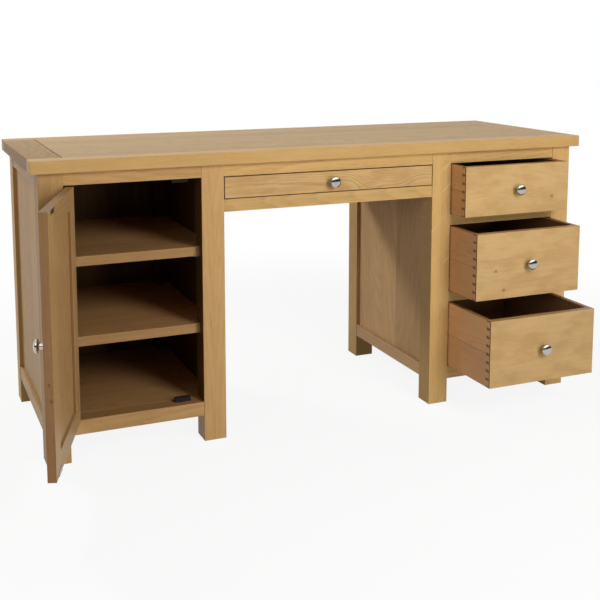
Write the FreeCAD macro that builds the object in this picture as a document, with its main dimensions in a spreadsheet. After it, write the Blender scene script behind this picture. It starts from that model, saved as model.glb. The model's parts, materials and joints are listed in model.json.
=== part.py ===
"""Oak pedestal desk: a cupboard and a stack of dovetailed drawers under one framed top.

Millimetres, +Z up, +X along the top to the right, +Y to the back.
The origin is on the floor under the middle of the top.
The door and the three stacked drawers stand open, each by a size of its own.
"""
import FreeCAD
import Part
import Sketcher
import math
import os
import re

SIZES = (
    ("desk_width", 1600, "length of the top"),
    ("desk_depth", 565, "depth of the top"),
    ("desk_height", 770, "floor to worktop"),
    ("overhang_front", 20, "top past the front of the legs"),
    ("overhang_side", 20, "top past the outer faces of the legs"),
    ("overhang_back", 5, "top past the back of the legs"),
    ("top_thick", 32, "thickness of the top"),
    ("top_strip_width", 54, "front and back strips of the top"),
    ("top_end_width", 85, "cross-grain ends of the top"),
    ("top_tongue_long", 12, "tongues that join the top"),
    ("top_tongue_thick", 10, "thickness of those tongues"),
    ("top_tongue_stop", 30, "solid wood left at the ends of the strips"),
    ("top_vee", 1.2, "depth of the vee along the cross-grain ends"),
    ("top_round", 2.5, "rounding of the top's outer edges"),
    ("pedestal_width", 470, "cupboard or drawer stack over its legs"),
    ("leg_width", 60, "leg along the desk"),
    ("leg_depth", 60, "leg front to back"),
    ("foot_height", 70, "floor to the underside of the bottom rails"),
    ("bottom_rail_height", 38, "bottom rails on all sides"),
    ("upper_rail_height", 33, "front rails under the top"),
    ("side_rail_height", 40, "side and back rails under the top"),
    ("frame_rail_thick", 22, "side and back rails"),
    ("front_rail_depth", 45, "front rails, front to back"),
    ("rail_setback", 1, "rails behind the faces of the legs"),
    ("tenon_long", 20, "tenons of the rails"),
    ("tenon_thick", 9, "thickness of those tenons"),
    ("tenon_shoulder", 6, "shoulder above and below each tenon"),
    ("panel_thick", 8, "flat panels of sides and backs"),
    ("panel_recess", 10, "panels behind the faces of the legs"),
    ("panel_tongue", 9, "panel edge inside its groove"),
    ("panel_play", 1, "room for a panel to swell in its groove"),
    ("cupboard_floor_thick", 15, "cupboard floor"),
    ("shelf_thick", 25, "shelves"),
    ("shelf_setback", 27, "shelves behind the front of the legs"),
    ("shelf_play", 1, "shelf to side panels"),
    ("upper_shelf_top", 521, "floor to the top of the upper shelf"),
    ("lower_shelf_top", 315, "floor to the top of the lower shelf"),
    ("shelf_pin_radius", 3, "shelf pins"),
    ("shelf_pin_reach", 9, "shelf pin inside the leg, and out of it"),
    ("shelf_pin_inset", 15, "shelf pin from the leg's inner corner"),
    ("centre_opening_height", 60, "opening over the kneehole"),
    ("kneehole_rail_height", 33, "rail under the centre drawer"),
    ("top_opening_height", 147, "opening of the top drawer"),
    ("divider_height", 32, "rails between the stacked drawers"),
    ("drawer_gap", 2.5, "drawer front to its opening, all round"),
    ("drawer_front_thick", 20, "drawer fronts"),
    ("drawer_side_thick", 12, "drawer sides"),
    ("drawer_back_thick", 12, "drawer backs"),
    ("drawer_back_inset", 15, "drawer back to the ends of the sides"),
    ("drawer_back_drop", 8, "drawer back below the rim"),
    ("drawer_housing", 4, "drawer back let into the sides"),
    ("drawer_base_thick", 6, "drawer bases"),
    ("drawer_base_rise", 9, "drawer base over the lower edge"),
    ("drawer_groove", 6, "depth of the grooves for the bases"),
    ("drawer_lap", 5, "front left in front of the dovetails"),
    ("pin_wide", 10, "dovetail pin at its root"),
    ("pin_narrow", 5, "dovetail pin at its tip"),
    ("stack_drawer_length", 450, "stacked drawers, front to back"),
    ("centre_drawer_length", 400, "centre drawer, front to back"),
    ("top_drawer_pull", 76, "top drawer stands open"),
    ("middle_drawer_pull", 140, "middle drawer stands open"),
    ("bottom_drawer_pull", 216, "bottom drawer stands open"),
    ("runner_width", 20, "drawer runners and kickers"),
    ("runner_height", 20, "drawer runners and kickers"),
    ("pad_thick", 2.2, "guide pads beside the drawers"),
    ("pad_width", 12, "guide pads front to back"),
    ("pad_height", 15, "guide pads"),
    ("pad_inset", 2, "guide pads behind the front of the legs"),
    ("door_gap", 2, "door to its opening, all round"),
    ("door_thick", 20, "door frame"),
    ("door_stile_width", 60, "upright pieces of the door"),
    ("door_rail_width", 48, "level pieces of the door"),
    ("door_panel_thick", 7, "flat panel of the door"),
    ("door_tenon_long", 30, "tenons of the door rails"),
    ("door_open_angle", 109, "degrees that the door stands open"),
    ("hinge_height", 63, "butt hinges"),
    ("hinge_margin", 60, "hinge to the end of the door"),
    ("hinge_depth", 17, "hinge leaf on the wood"),
    ("leaf_thick", 1.2, "hinge leaves"),
    ("knuckle_radius", 3.2, "hinge knuckles"),
    ("knuckle_play", 0.3, "between knuckles, and leaf to knuckle"),
    ("pin_proud", 4, "hinge axis in front of the door"),
    ("hinge_pin_radius", 1.6, "hinge pins"),
    ("hinge_pin_play", 0.05, "running fit of the hinge pins"),
    ("hinge_pin_tip", 1, "hinge pin past its end knuckles"),
    ("catch_width", 42, "magnetic catches"),
    ("catch_depth", 13, "magnetic catches, front to back"),
    ("catch_height", 12, "magnetic catches"),
    ("catch_nose", 2, "pole pieces in front of a catch"),
    ("catch_place", 298, "hinge axis to the middle of a catch"),
    ("catch_play", 0.3, "catch to its plate with the door shut"),
    ("plate_width", 40, "steel plates on the door"),
    ("plate_height", 12, "steel plates on the door"),
    ("plate_thick", 1, "steel plates on the door"),
    ("knob_foot_radius", 8.5, "knob where it meets the wood"),
    ("knob_waist_curve", 11, "radius of the hollow below the knob's head"),
    ("knob_head_radius", 15.5, "widest part of the knob"),
    ("knob_head_start", 16, "wood to the edge of the head"),
    ("knob_rim", 2.5, "straight edge of the head"),
    ("knob_long", 26, "wood to the crown of the knob"),
)

DERIVED = (
    ("carcass_top", "desk_height - top_thick", "top of the legs"),
    ("front_face", "-desk_depth / 2 + overhang_front", "front of the legs"),
    ("back_face", "desk_depth / 2 - overhang_back", "back of the legs"),
    ("left_face", "-desk_width / 2 + overhang_side", "left end of the legs"),
    ("right_face", "desk_width / 2 - overhang_side", "right end of the legs"),
    ("stack_left", "right_face - pedestal_width", "left side of the drawer stack"),
    ("knee_left", "left_face + pedestal_width", "left side of the kneehole"),
    ("knee_width", "stack_left - knee_left", "width of the kneehole"),
    ("opening_width", "pedestal_width - 2 * leg_width", "between the legs of a pedestal"),
    ("opening_top", "carcass_top - upper_rail_height", "upper edge of all openings"),
    ("floor_top", "foot_height + bottom_rail_height", "lower edge of the openings"),
    ("knee_rail_top", "opening_top - centre_opening_height", "rail under the centre drawer"),
    ("knee_rail_low", "knee_rail_top - kneehole_rail_height", "upper edge of the kneehole"),
    ("upper_divider_top", "opening_top - top_opening_height", "rail under the top drawer"),
    (
        "low_opening_height",
        "(upper_divider_top - floor_top - 2 * divider_height) / 2",
        "openings of the middle and bottom drawers",
    ),
    (
        "lower_divider_top",
        "floor_top + low_opening_height + divider_height",
        "rail under the middle drawer",
    ),
    ("rail_back", "front_face + rail_setback + front_rail_depth", "back of the front rails"),
    ("hinge_x", "left_face + leg_width + door_gap / 2", "hinge axis"),
    ("hinge_y", "front_face - pin_proud", "hinge axis"),
    ("door_low", "floor_top + door_gap", "lower edge of the door"),
    ("door_high", "opening_top - door_gap", "upper edge of the door"),
    ("door_end", "opening_width - door_gap * 3 / 2", "closing edge, from the hinge axis"),
    ("door_back", "pin_proud + door_thick", "inner face, from the hinge axis"),
    ("knuckle_height", "(hinge_height - 2 * knuckle_play) / 3", "one knuckle of three"),
)

NAMES = {row[0] for row in SIZES + DERIVED}
TINY = 1e-6
UPRIGHT = FreeCAD.Vector(0, 0, 1)
TO_THE_BACK = FreeCAD.Vector(0, 1, 0)

doc = FreeCAD.newDocument("PedestalDesk")
sheet = doc.addObject("Spreadsheet::Sheet", "Sizes")
nodes = []


def fill_sheet():
    """Writes every size, and the places worked out from them, into the sheet."""
    rows = [(name, str(value), note) for name, value, note in SIZES]
    rows += [(name, "=" + formula, note) for name, formula, note in DERIVED]
    for number, (name, content, note) in enumerate(rows, start=1):
        sheet.set(f"A{number}", name)
        sheet.set(f"B{number}", content)
        sheet.setAlias(f"B{number}", name)
        sheet.set(f"C{number}", note)
    doc.recompute()


def bind(thing, formulas):
    """Ties properties of an object to formulas of the sheet's names."""
    for name, formula in formulas.items():
        tied = re.sub(r"[a-z_]+", lambda m: f"Sizes.{m[0]}" if m[0] in NAMES else m[0], formula)
        thing.setExpression(name, tied)


def place(x, y, z):
    """The formulas of a position."""
    return {"Placement.Base.x": x, "Placement.Base.y": y, "Placement.Base.z": z}


def board(x, y, z):
    """A squared board between two planes on each axis."""
    box = doc.addObject("Part::Box", "Board")
    for size, (low, high) in zip(("Length", "Width", "Height"), (x, y, z)):
        bind(box, {size: f"({high}) - ({low})"})
    bind(box, place(x[0], y[0], z[0]))
    return box


def rod(turn_axis, turn, radius, height, x, y, z):
    """A round rod that starts at a point; its length is turned from upright about an axis."""
    cylinder = doc.addObject("Part::Cylinder", "Rod")
    cylinder.Placement = FreeCAD.Placement(FreeCAD.Vector(), FreeCAD.Rotation(turn_axis, turn))
    bind(cylinder, {"Radius": radius, "Height": height})
    bind(cylinder, place(x, y, z))
    return cylinder


def joined(*pieces):
    """One solid made of pieces that run into each other."""
    fuse = doc.addObject("Part::MultiFuse", "Joined")
    fuse.Shapes = list(pieces)
    return fuse


def cut(piece, *tools):
    """The piece with a socket for each of the tools, which are the pieces that fit in it."""
    result = doc.addObject("Part::Cut", "Cut")
    result.Base = piece
    result.Tool = together(*tools)
    return result


def together(*pieces):
    """Pieces that stay apart, taken as one tool."""
    group = doc.addObject("Part::Compound", "Together")
    group.Links = list(pieces)
    return group


def node(label, *solids, frame=None):
    """A named piece, or group of like pieces; a frame sets it where it stands on the desk."""
    group = together(*solids)
    group.Label = label
    if frame and "Placement.Rotation.Angle" in frame:
        group.Placement = FreeCAD.Placement(FreeCAD.Vector(), FreeCAD.Rotation(UPRIGHT, 1))
    bind(group, frame or {})
    nodes.append(group)


def layer(face, inward, depth, thick):
    """The two planes of a layer that lies at a depth behind a face; inward is a sign."""
    if inward > 0:
        return f"{face} + {depth}", f"{face} + {depth} + {thick}"
    return f"{face} - {depth} - {thick}", f"{face} - {depth}"


def about(middle, size):
    """The two planes of a size that is centred on a place."""
    return f"{middle} - {size} / 2", f"{middle} + {size} / 2"


def tenoned(along, x, y, z, long="tenon_long"):
    """A rail with a tenon at each end, centred in its thickness; along is 0 for x and 1 for y."""
    spans = [x, y, z]
    tongue = list(spans)
    tongue[along] = (f"{spans[along][0]} - {long}", f"{spans[along][1]} + {long}")
    low, high = spans[1 - along]
    tongue[1 - along] = about(f"({low} + {high}) / 2", "tenon_thick")
    tongue[2] = (f"{z[0]} + tenon_shoulder", f"{z[1]} - tenon_shoulder")
    return joined(board(*spans), board(*tongue))


def softened(piece, picks):
    """Rounds those edges of a board that picks chooses."""
    doc.recompute()
    fillet = doc.addObject("Part::Fillet", "Softened")
    fillet.Base = piece
    radius = float(sheet.top_round)
    edges = enumerate(piece.Shape.Edges, start=1)
    fillet.Edges = [(number, radius, radius) for number, edge in edges if picks(edge)]
    return fillet


def framed_top():
    """A field with tongues on its edges, two cross-grain ends and two long strips."""
    z = ("carcass_top", "desk_height")
    tongue_z = about("(desk_height - top_thick / 2)", "top_tongue_thick")
    ends_x = ("-desk_width / 2 + top_end_width", "desk_width / 2 - top_end_width")
    strips_y = ("-desk_depth / 2 + top_strip_width", "desk_depth / 2 - top_strip_width")
    tongue_x = (f"{ends_x[0]} - top_tongue_long", f"{ends_x[1]} + top_tongue_long")
    tongue_y = (f"{strips_y[0]} - top_tongue_long", f"{strips_y[1]} + top_tongue_long")
    field = joined(
        board(ends_x, strips_y, z),
        board(tongue_x, strips_y, tongue_z),
        board(ends_x, tongue_y, tongue_z),
    )
    vees = []
    for joint in ends_x:
        vee = board((f"{joint} - top_vee", f"{joint} - top_vee + top_vee * sqrt(2)"), strips_y, ("0", "0"))
        vee.Placement.Rotation = FreeCAD.Rotation(TO_THE_BACK, 45)
        bind(vee, {"Height": "top_vee * sqrt(2)", "Placement.Base.z": "desk_height"})
        vees.append(vee)

    half_width = float(sheet.desk_width) / 2
    inner = float(sheet.desk_depth) / 2 - float(sheet.top_strip_width)

    def outer_end_edge(edge):
        """An edge along the outside of a cross-grain end."""
        outside = all(abs(abs(v.X) - half_width) < TINY for v in edge.Vertexes)
        return outside and abs(edge.Vertexes[0].Z - edge.Vertexes[-1].Z) < TINY

    def outer_strip_edge(edge):
        """An edge of a long strip that isn't on its joint with the field."""
        return not all(abs(abs(v.Y) - inner) < TINY for v in edge.Vertexes)

    ends = []
    spans = (("-desk_width / 2", ends_x[0]), (ends_x[1], "desk_width / 2"))
    tenons = (
        ("-desk_width / 2 + top_tongue_stop", f"{tongue_x[0]} - top_tongue_long"),
        (f"{tongue_x[1]} + top_tongue_long", "desk_width / 2 - top_tongue_stop"),
    )
    for span, tenon, vee in zip(spans, tenons, vees):
        blank = softened(board(span, strips_y, z), outer_end_edge)
        ends.append(cut(joined(blank, board(tenon, tongue_y, tongue_z)), field, vee))

    across = ("-desk_width / 2", "desk_width / 2")
    strips = []
    for span in (("-desk_depth / 2", strips_y[0]), (strips_y[1], "desk_depth / 2")):
        blank = softened(board(across, span, z), outer_strip_edge)
        strips.append(cut(blank, field, *ends))

    node("top_panel", cut(field, *vees))
    node("top_left_end", ends[0])
    node("top_right_end", ends[1])
    node("top_front_rail", strips[0])
    node("top_back_rail", strips[1])


def kneehole_rails():
    """The two rails round the centre drawer, and the apron that ties the back legs."""
    span = ("knee_left", "stack_left")
    front = layer("front_face", 1, "rail_setback", "front_rail_depth")
    back = layer("back_face", -1, "rail_setback", "frame_rail_thick")
    rails = {
        "kneehole_top_rail": tenoned(0, span, front, ("opening_top", "carcass_top")),
        "kneehole_lower_rail": tenoned(0, span, front, ("knee_rail_low", "knee_rail_top")),
        "kneehole_back_rail": tenoned(0, span, back, ("knee_rail_low", "carcass_top")),
    }
    for label, rail in rails.items():
        node(label, rail)
    return list(rails.values())


def front_rails(x, levels):
    """Front rails of a pedestal, one for each pair of levels."""
    y = layer("front_face", 1, "rail_setback", "front_rail_depth")
    return [tenoned(0, x, y, z) for z in levels]


def pedestal(name, x_low, rails_in_front, sockets):
    """Legs, framed sides and a framed back; sockets lists what else is let into each leg."""
    x_high = f"{x_low} + pedestal_width"
    sides = {"left": (x_low, 1), "right": (x_high, -1)}
    rail_levels = (("carcass_top - side_rail_height", "carcass_top"), ("foot_height", "floor_top"))
    between_x = (f"{x_low} + leg_width", f"{x_high} - leg_width")
    between_y = ("front_face + leg_depth", "back_face - leg_depth")

    def panel(reach, x=None, y=None):
        """A flat panel that runs past its frame by a reach, in the plane that x or y leaves open."""
        grown_x = (f"{between_x[0]} - {reach}", f"{between_x[1]} + {reach}")
        grown_y = (f"{between_y[0]} - {reach}", f"{between_y[1]} + {reach}")
        z = (f"floor_top - {reach}", f"carcass_top - side_rail_height + {reach}")
        return board(x or grown_x, y or grown_y, z)

    def framed(along, fixed_x, fixed_y, rail_x, rail_y):
        """A panel, its groove and the two grooved rails above and below it."""
        groove = panel("(panel_tongue + panel_play)", fixed_x, fixed_y)
        rails = [cut(tenoned(along, rail_x, rail_y, z), groove) for z in rail_levels]
        return panel("panel_tongue", fixed_x, fixed_y), groove, rails

    frames = {}
    for side, (face, inward) in sides.items():
        rail_x = layer(face, inward, "rail_setback", "frame_rail_thick")
        frames[side] = framed(1, layer(face, inward, "panel_recess", "panel_thick"), None, rail_x, between_y)
    back_y = layer("back_face", -1, "rail_setback", "frame_rail_thick")
    frames["back"] = framed(0, None, layer("back_face", -1, "panel_recess", "panel_thick"), between_x, back_y)

    blanks = []
    legs = {}
    for side, (face, inward) in sides.items():
        for end, edge, deeper in (("front", "front_face", 1), ("back", "back_face", -1)):
            x = layer(face, inward, "0", "leg_width")
            y = layer(edge, deeper, "0", "leg_depth")
            blank = board(x, y, ("0", "carcass_top"))
            blanks.append(blank)
            tools = [frames[side][1], *frames[side][2], *sockets.get((end, side), [])]
            if end == "front":
                tools += rails_in_front
            else:
                tools += [frames["back"][1], *frames["back"][2]]
            legs[end, side] = cut(blank, *tools)

    node(f"{name}_front_left_leg", legs["front", "left"])
    node(f"{name}_front_right_leg", legs["front", "right"])
    node(f"{name}_back_legs", legs["back", "left"], legs["back", "right"])
    node(f"{name}_frame_rails", *frames["left"][2], *frames["right"][2], *frames["back"][2])
    node(f"{name}_side_panels", frames["left"][0], frames["right"][0])
    node(f"{name}_back_panel", frames["back"][0])
    return blanks


def hinge_leaf(x, y, z, side, knuckles):
    """One leaf of a butt hinge; side is the sign of the way it lies from the axis at x and y."""
    plate_x = layer(x, side, "door_gap / 2", "leaf_thick")
    plate_y = (f"{y} + knuckle_radius + knuckle_play", f"{y} + pin_proud + hinge_depth")
    pieces = [board(plate_x, plate_y, (z, f"{z} + hinge_height"))]
    for number in knuckles:
        low = f"{z} + {number} * (knuckle_height + knuckle_play)"
        barrel = rod(UPRIGHT, 0, "knuckle_radius", "knuckle_height", x, y, low)
        web = board(plate_x, (y, plate_y[0]), (low, f"{low} + knuckle_height"))
        pieces += [barrel, web]
    bore = rod(UPRIGHT, 0, "hinge_pin_radius + hinge_pin_play", "hinge_height", x, y, z)
    return cut(joined(*pieces), bore)


def hinge_levels():
    """Lower ends of the two hinges."""
    return "door_low + hinge_margin", "door_high - hinge_margin - hinge_height"


def cupboard():
    """The left pedestal with its floor, shelves, shelf pins, hinge leaves and catches."""
    x_low = "left_face"
    inner = (f"{x_low} + leg_width", f"{x_low} + pedestal_width - leg_width")
    rails = front_rails(inner, (("opening_top", "carcass_top"), ("foot_height", "floor_top")))
    leaves = [hinge_leaf("hinge_x", "hinge_y", z, -1, (0, 2)) for z in hinge_levels()]

    pins = {}
    for side, face in zip(("left", "right"), inner):
        for end, y in (
            ("front", "front_face + leg_depth - shelf_pin_inset"),
            ("back", "back_face - leg_depth + shelf_pin_inset"),
        ):
            pins[end, side] = [
                rod(
                    TO_THE_BACK, 90, "shelf_pin_radius", "2 * shelf_pin_reach",
                    f"{face} - shelf_pin_reach", y, f"{top} - shelf_thick - shelf_pin_radius",
                )
                for top in ("upper_shelf_top", "lower_shelf_top")
            ]

    sockets = dict(pins)
    sockets["front", "left"] = pins["front", "left"] + leaves
    for end in ("front", "back"):
        sockets[end, "right"] = pins[end, "right"] + KNEE_RAILS
    blanks = pedestal("cupboard", x_low, rails, sockets)

    panels_x = (
        f"{x_low} + panel_recess + panel_thick + shelf_play",
        f"{x_low} + pedestal_width - panel_recess - panel_thick - shelf_play",
    )
    shelf_y = ("front_face + shelf_setback", "back_face - panel_recess - panel_thick - shelf_play")
    for label, top in (("upper_shelf", "upper_shelf_top"), ("lower_shelf", "lower_shelf_top")):
        node(label, cut(board(panels_x, shelf_y, (f"{top} - shelf_thick", top)), *blanks))
    rails_x = (
        f"{x_low} + rail_setback + frame_rail_thick",
        f"{x_low} + pedestal_width - rail_setback - frame_rail_thick",
    )
    floor_y = ("rail_back", "back_face - rail_setback - frame_rail_thick")
    floor_z = ("floor_top - cupboard_floor_thick", "floor_top")
    node("cupboard_floor", cut(board(rails_x, floor_y, floor_z), *blanks))
    node("shelf_pins", *[pin for pair in pins.values() for pin in pair])
    node("cupboard_top_rail", rails[0])
    node("cupboard_bottom_rail", rails[1])
    node("hinge_frame_leaves", *leaves)
    node(
        "hinge_pins",
        *[
            rod(
                UPRIGHT, 0, "hinge_pin_radius", "hinge_height + 2 * hinge_pin_tip",
                "hinge_x", "hinge_y", f"{z} - hinge_pin_tip",
            )
            for z in hinge_levels()
        ],
    )

    nose_y = "front_face + door_thick + plate_thick + catch_play"
    body_y = (f"{nose_y} + catch_nose", f"{nose_y} + catch_nose + catch_depth")
    x = about("hinge_x + catch_place", "catch_width")
    catches = []
    for z in (("opening_top - catch_height", "opening_top"), ("floor_top", "floor_top + catch_height")):
        pole_x = about("hinge_x + catch_place", "catch_width / 2")
        pole_z = about(f"({z[0]} + {z[1]}) / 2", "catch_height / 2")
        catches.append(joined(board(x, body_y, z), board(pole_x, (nose_y, body_y[1]), pole_z)))
    node("door_catches", *catches)


def drawer_stack():
    """The right pedestal with the front rails between its drawers."""
    inner = ("stack_left + leg_width", "stack_left + pedestal_width - leg_width")
    rails = front_rails(
        inner,
        (
            ("opening_top", "carcass_top"),
            ("upper_divider_top - divider_height", "upper_divider_top"),
            ("lower_divider_top - divider_height", "lower_divider_top"),
            ("foot_height", "floor_top"),
        ),
    )
    sockets = {("front", "left"): KNEE_RAILS, ("back", "left"): KNEE_RAILS}
    pedestal("drawers", "stack_left", rails, sockets)
    node("drawers_top_rail", rails[0])
    node("drawers_dividers", rails[1], rails[2])
    node("drawers_bottom_rail", rails[3])


def runners_and_pads():
    """Runners under every drawer, kickers over the highest ones, and pads beside the stack."""
    stack = (("stack_left + leg_width", 1), ("stack_left + pedestal_width - leg_width", -1))
    knee = (("knee_left", 1), ("stack_left", -1))
    stack_y = ("rail_back", "back_face - leg_depth / 2")
    knee_y = ("rail_back", "back_face - rail_setback - frame_rail_thick")
    openings = (
        ("upper_divider_top", "opening_top"),
        ("lower_divider_top", "lower_divider_top + low_opening_height"),
        ("floor_top", "floor_top + low_opening_height"),
    )
    runners = []
    pads = []
    for faces, y, lows in (
        (stack, stack_y, [low for low, high in openings]),
        (knee, knee_y, ["knee_rail_top"]),
    ):
        for face, inward in faces:
            x = layer(face, inward, "0", "runner_width")
            runners += [board(x, y, (f"{z} + drawer_gap - runner_height", f"{z} + drawer_gap")) for z in lows]
            runners.append(board(x, y, ("opening_top", "opening_top + runner_height")))
    for face, inward in stack:
        x = layer(face, inward, "0", "pad_thick")
        y = layer("front_face", 1, "pad_inset", "pad_width")
        pads += [board(x, y, about(f"({low} + {high}) / 2", "pad_height")) for low, high in openings]
    node("drawer_runners", *runners)
    node("drawer_guide_pads", *pads)


def knob(x, y, z):
    """A turned mushroom knob that stands out towards the front from a point on the wood."""
    foot = float(sheet.knob_foot_radius)
    head = float(sheet.knob_head_radius)
    start = float(sheet.knob_head_start)
    rim_end = start + float(sheet.knob_rim)
    crown = float(sheet.knob_long)
    hollow = float(sheet.knob_waist_curve)

    body = doc.addObject("PartDesign::Body", "Knob")
    plane = next(f for f in body.Origin.OriginFeatures if f.Role == "XY_Plane")
    sketch = body.newObject("Sketcher::SketchObject", "KnobProfile")
    sketch.AttachmentSupport = (plane, [""])
    sketch.MapMode = "FlatFace"

    chord = math.hypot(head - foot, start)
    off = math.sqrt(hollow**2 - (chord / 2) ** 2) / chord
    waist_x = (foot + head) / 2 + start * off
    waist_y = -start / 2 + (head - foot) * off
    dome = crown - rim_end
    dome_radius = (head**2 + dome**2) / (2 * dome)

    def point(px, py):
        return FreeCAD.Vector(px, py, 0)

    def arc(cx, cy, radius, first, last):
        circle = Part.Circle(point(cx, cy), UPRIGHT, radius)
        turn_a = math.atan2(first[1] - cy, first[0] - cx)
        turn_b = math.atan2(last[1] - cy, last[0] - cx)
        return Part.ArcOfCircle(circle, turn_a, turn_b)

    foot_line, waist, rim, crown_arc, axis = range(5)
    sketch.addGeometry(Part.LineSegment(point(0, 0), point(foot, 0)))
    sketch.addGeometry(arc(waist_x, waist_y, hollow, (foot, 0), (head, -start)))
    sketch.addGeometry(Part.LineSegment(point(head, -start), point(head, -rim_end)))
    sketch.addGeometry(arc(0, dome_radius - crown, dome_radius, (0, -crown), (head, -rim_end)))
    sketch.addGeometry(Part.LineSegment(point(0, -crown), point(0, 0)))

    origin, y_axis = (-1, 1), -2
    start_of, end_of, centre_of = 1, 2, 3
    for fact in (
        ("Coincident", foot_line, start_of, *origin),
        ("Coincident", foot_line, end_of, waist, start_of),
        ("Coincident", waist, end_of, rim, start_of),
        ("Coincident", rim, end_of, crown_arc, end_of),
        ("Coincident", crown_arc, start_of, axis, start_of),
        ("Coincident", axis, end_of, *origin),
        ("Horizontal", foot_line),
        ("Vertical", rim),
        ("Vertical", axis),
        ("PointOnObject", crown_arc, centre_of, y_axis),
    ):
        sketch.addConstraint(Sketcher.Constraint(*fact))
    for kind, places, formula, value in (
        ("DistanceX", (*origin, foot_line, end_of), "knob_foot_radius", foot),
        ("DistanceX", (*origin, rim, start_of), "knob_head_radius", head),
        ("DistanceY", (rim, start_of, *origin), "knob_head_start", start),
        ("DistanceY", (rim, end_of, rim, start_of), "knob_rim", rim_end - start),
        ("DistanceY", (axis, start_of, *origin), "knob_long", crown),
        ("Radius", (waist,), "knob_waist_curve", hollow),
    ):
        number = sketch.addConstraint(Sketcher.Constraint(kind, *places, value))
        bind(sketch, {f"Constraints[{number}]": formula})

    turned = body.newObject("PartDesign::Revolution", "KnobTurned")
    turned.Profile = sketch
    turned.ReferenceAxis = (sketch, ["V_Axis"])
    turned.Angle = 360
    bind(body, place(x, y, z))
    return body


def dovetail_pins(x, height, tails):
    """The pins of a drawer front, from a half pin at the bottom to one at the top."""
    pins = []
    for number in range(tails + 1):
        pin = doc.addObject("Part::Wedge", "Pin")
        bind(pin, {"Xmin": "0", "X2min": "0", "Ymin": "0", "Xmax": "drawer_side_thick"})
        bind(pin, {"X2max": "drawer_side_thick", "Ymax": "drawer_front_thick - drawer_lap"})
        bind(pin, {"Zmin": "-pin_narrow / 2", "Zmax": "pin_narrow / 2"})
        bind(pin, {"Z2min": "-pin_wide / 2", "Z2max": "pin_wide / 2"})
        bind(pin, place(x, "drawer_lap", f"({height}) * {number} / {tails}"))
        pins.append(pin)
    return together(*pins)


def drawer(name, width, height, length, tails, frame):
    """A drawer: half-blind dovetails in front, a housed back, and a base slid into grooves."""
    inner = ("drawer_side_thick", f"{width} - drawer_side_thick")
    base = board(
        (f"{inner[0]} - drawer_groove", f"{inner[1]} + drawer_groove"),
        ("drawer_front_thick - drawer_groove", length),
        ("drawer_base_rise", "drawer_base_rise + drawer_base_thick"),
    )
    back = board(
        (f"{inner[0]} - drawer_housing", f"{inner[1]} + drawer_housing"),
        (f"{length} - drawer_back_inset - drawer_back_thick", f"{length} - drawer_back_inset"),
        ("drawer_base_rise + drawer_base_thick", f"{height} - drawer_back_drop"),
    )
    sides = []
    for x in (("0", inner[0]), (inner[1], width)):
        blank = board(x, ("drawer_lap", length), ("0", height))
        sides.append(cut(blank, dovetail_pins(x[0], height, tails), back, base))
    front = cut(board(("0", width), ("0", "drawer_front_thick"), ("0", height)), *sides, base)
    node(f"{name}_drawer_front", front, frame=frame)
    node(f"{name}_drawer_sides", *sides, frame=frame)
    node(f"{name}_drawer_back", back, frame=frame)
    node(f"{name}_drawer_base", base, frame=frame)
    node(f"{name}_drawer_knob", knob(f"({width}) / 2", "0", f"({height}) / 2"), frame=frame)


def drawers():
    """The three stacked drawers and the shallow one over the kneehole."""
    width = "(opening_width - 2 * drawer_gap)"
    x = "stack_left + leg_width + drawer_gap"
    low_height = "(low_opening_height - 2 * drawer_gap)"
    for name, opening, low, pull, tails in (
        ("top", "(top_opening_height - 2 * drawer_gap)", "upper_divider_top", "top_drawer_pull", 6),
        ("middle", low_height, "lower_divider_top", "middle_drawer_pull", 8),
        ("bottom", low_height, "floor_top", "bottom_drawer_pull", 8),
    ):
        frame = place(x, f"front_face - {pull}", f"{low} + drawer_gap")
        drawer(name, width, opening, "stack_drawer_length", tails, frame)
    drawer(
        "centre",
        "(knee_width - 2 * drawer_gap)",
        "(centre_opening_height - 2 * drawer_gap)",
        "centre_drawer_length",
        2,
        place("knee_left + drawer_gap", "front_face", "knee_rail_top + drawer_gap"),
    )


def door():
    """A framed door with a flat panel, modelled shut about its hinge axis and then swung open."""
    frame = place("hinge_x", "hinge_y", "0")
    frame["Placement.Rotation.Angle"] = "-door_open_angle"
    y = ("pin_proud", "door_back")
    z = ("door_low", "door_high")
    hinge_edge = "door_gap / 2"
    stiles_x = (
        (hinge_edge, f"{hinge_edge} + door_stile_width"),
        ("door_end - door_stile_width", "door_end"),
    )
    inner_x = (stiles_x[0][1], stiles_x[1][0])
    inner_z = ("door_low + door_rail_width", "door_high - door_rail_width")
    panel_y = about("(pin_proud + door_thick / 2)", "door_panel_thick")

    def panel(reach):
        x = (f"{inner_x[0]} - {reach}", f"{inner_x[1]} + {reach}")
        return board(x, panel_y, (f"{inner_z[0]} - {reach}", f"{inner_z[1]} + {reach}"))

    groove = panel("(panel_tongue + panel_play)")
    levels = ((inner_z[1], "door_high"), ("door_low", inner_z[0]))
    rails = [cut(tenoned(0, inner_x, y, level, "door_tenon_long"), groove) for level in levels]
    leaves = [hinge_leaf("0", "0", low, 1, (1,)) for low in hinge_levels()]
    stiles = [
        cut(board(stiles_x[0], y, z), groove, *rails, *leaves),
        cut(board(stiles_x[1], y, z), groove, *rails),
    ]
    plates_x = about("catch_place", "plate_width")
    plates_y = ("door_back", "door_back + plate_thick")
    plates_z = (("door_high - plate_height", "door_high"), ("door_low", "door_low + plate_height"))
    node("door_stiles", *stiles, frame=frame)
    node("door_rails", *rails, frame=frame)
    node("door_panel", panel("panel_tongue"), frame=frame)
    node("hinge_door_leaves", *leaves, frame=frame)
    node("catch_plates", *[board(plates_x, plates_y, span) for span in plates_z], frame=frame)
    turned = knob("door_end - door_stile_width / 2", "pin_proud", "(door_low + door_high) / 2")
    node("door_knob", turned, frame=frame)


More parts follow.
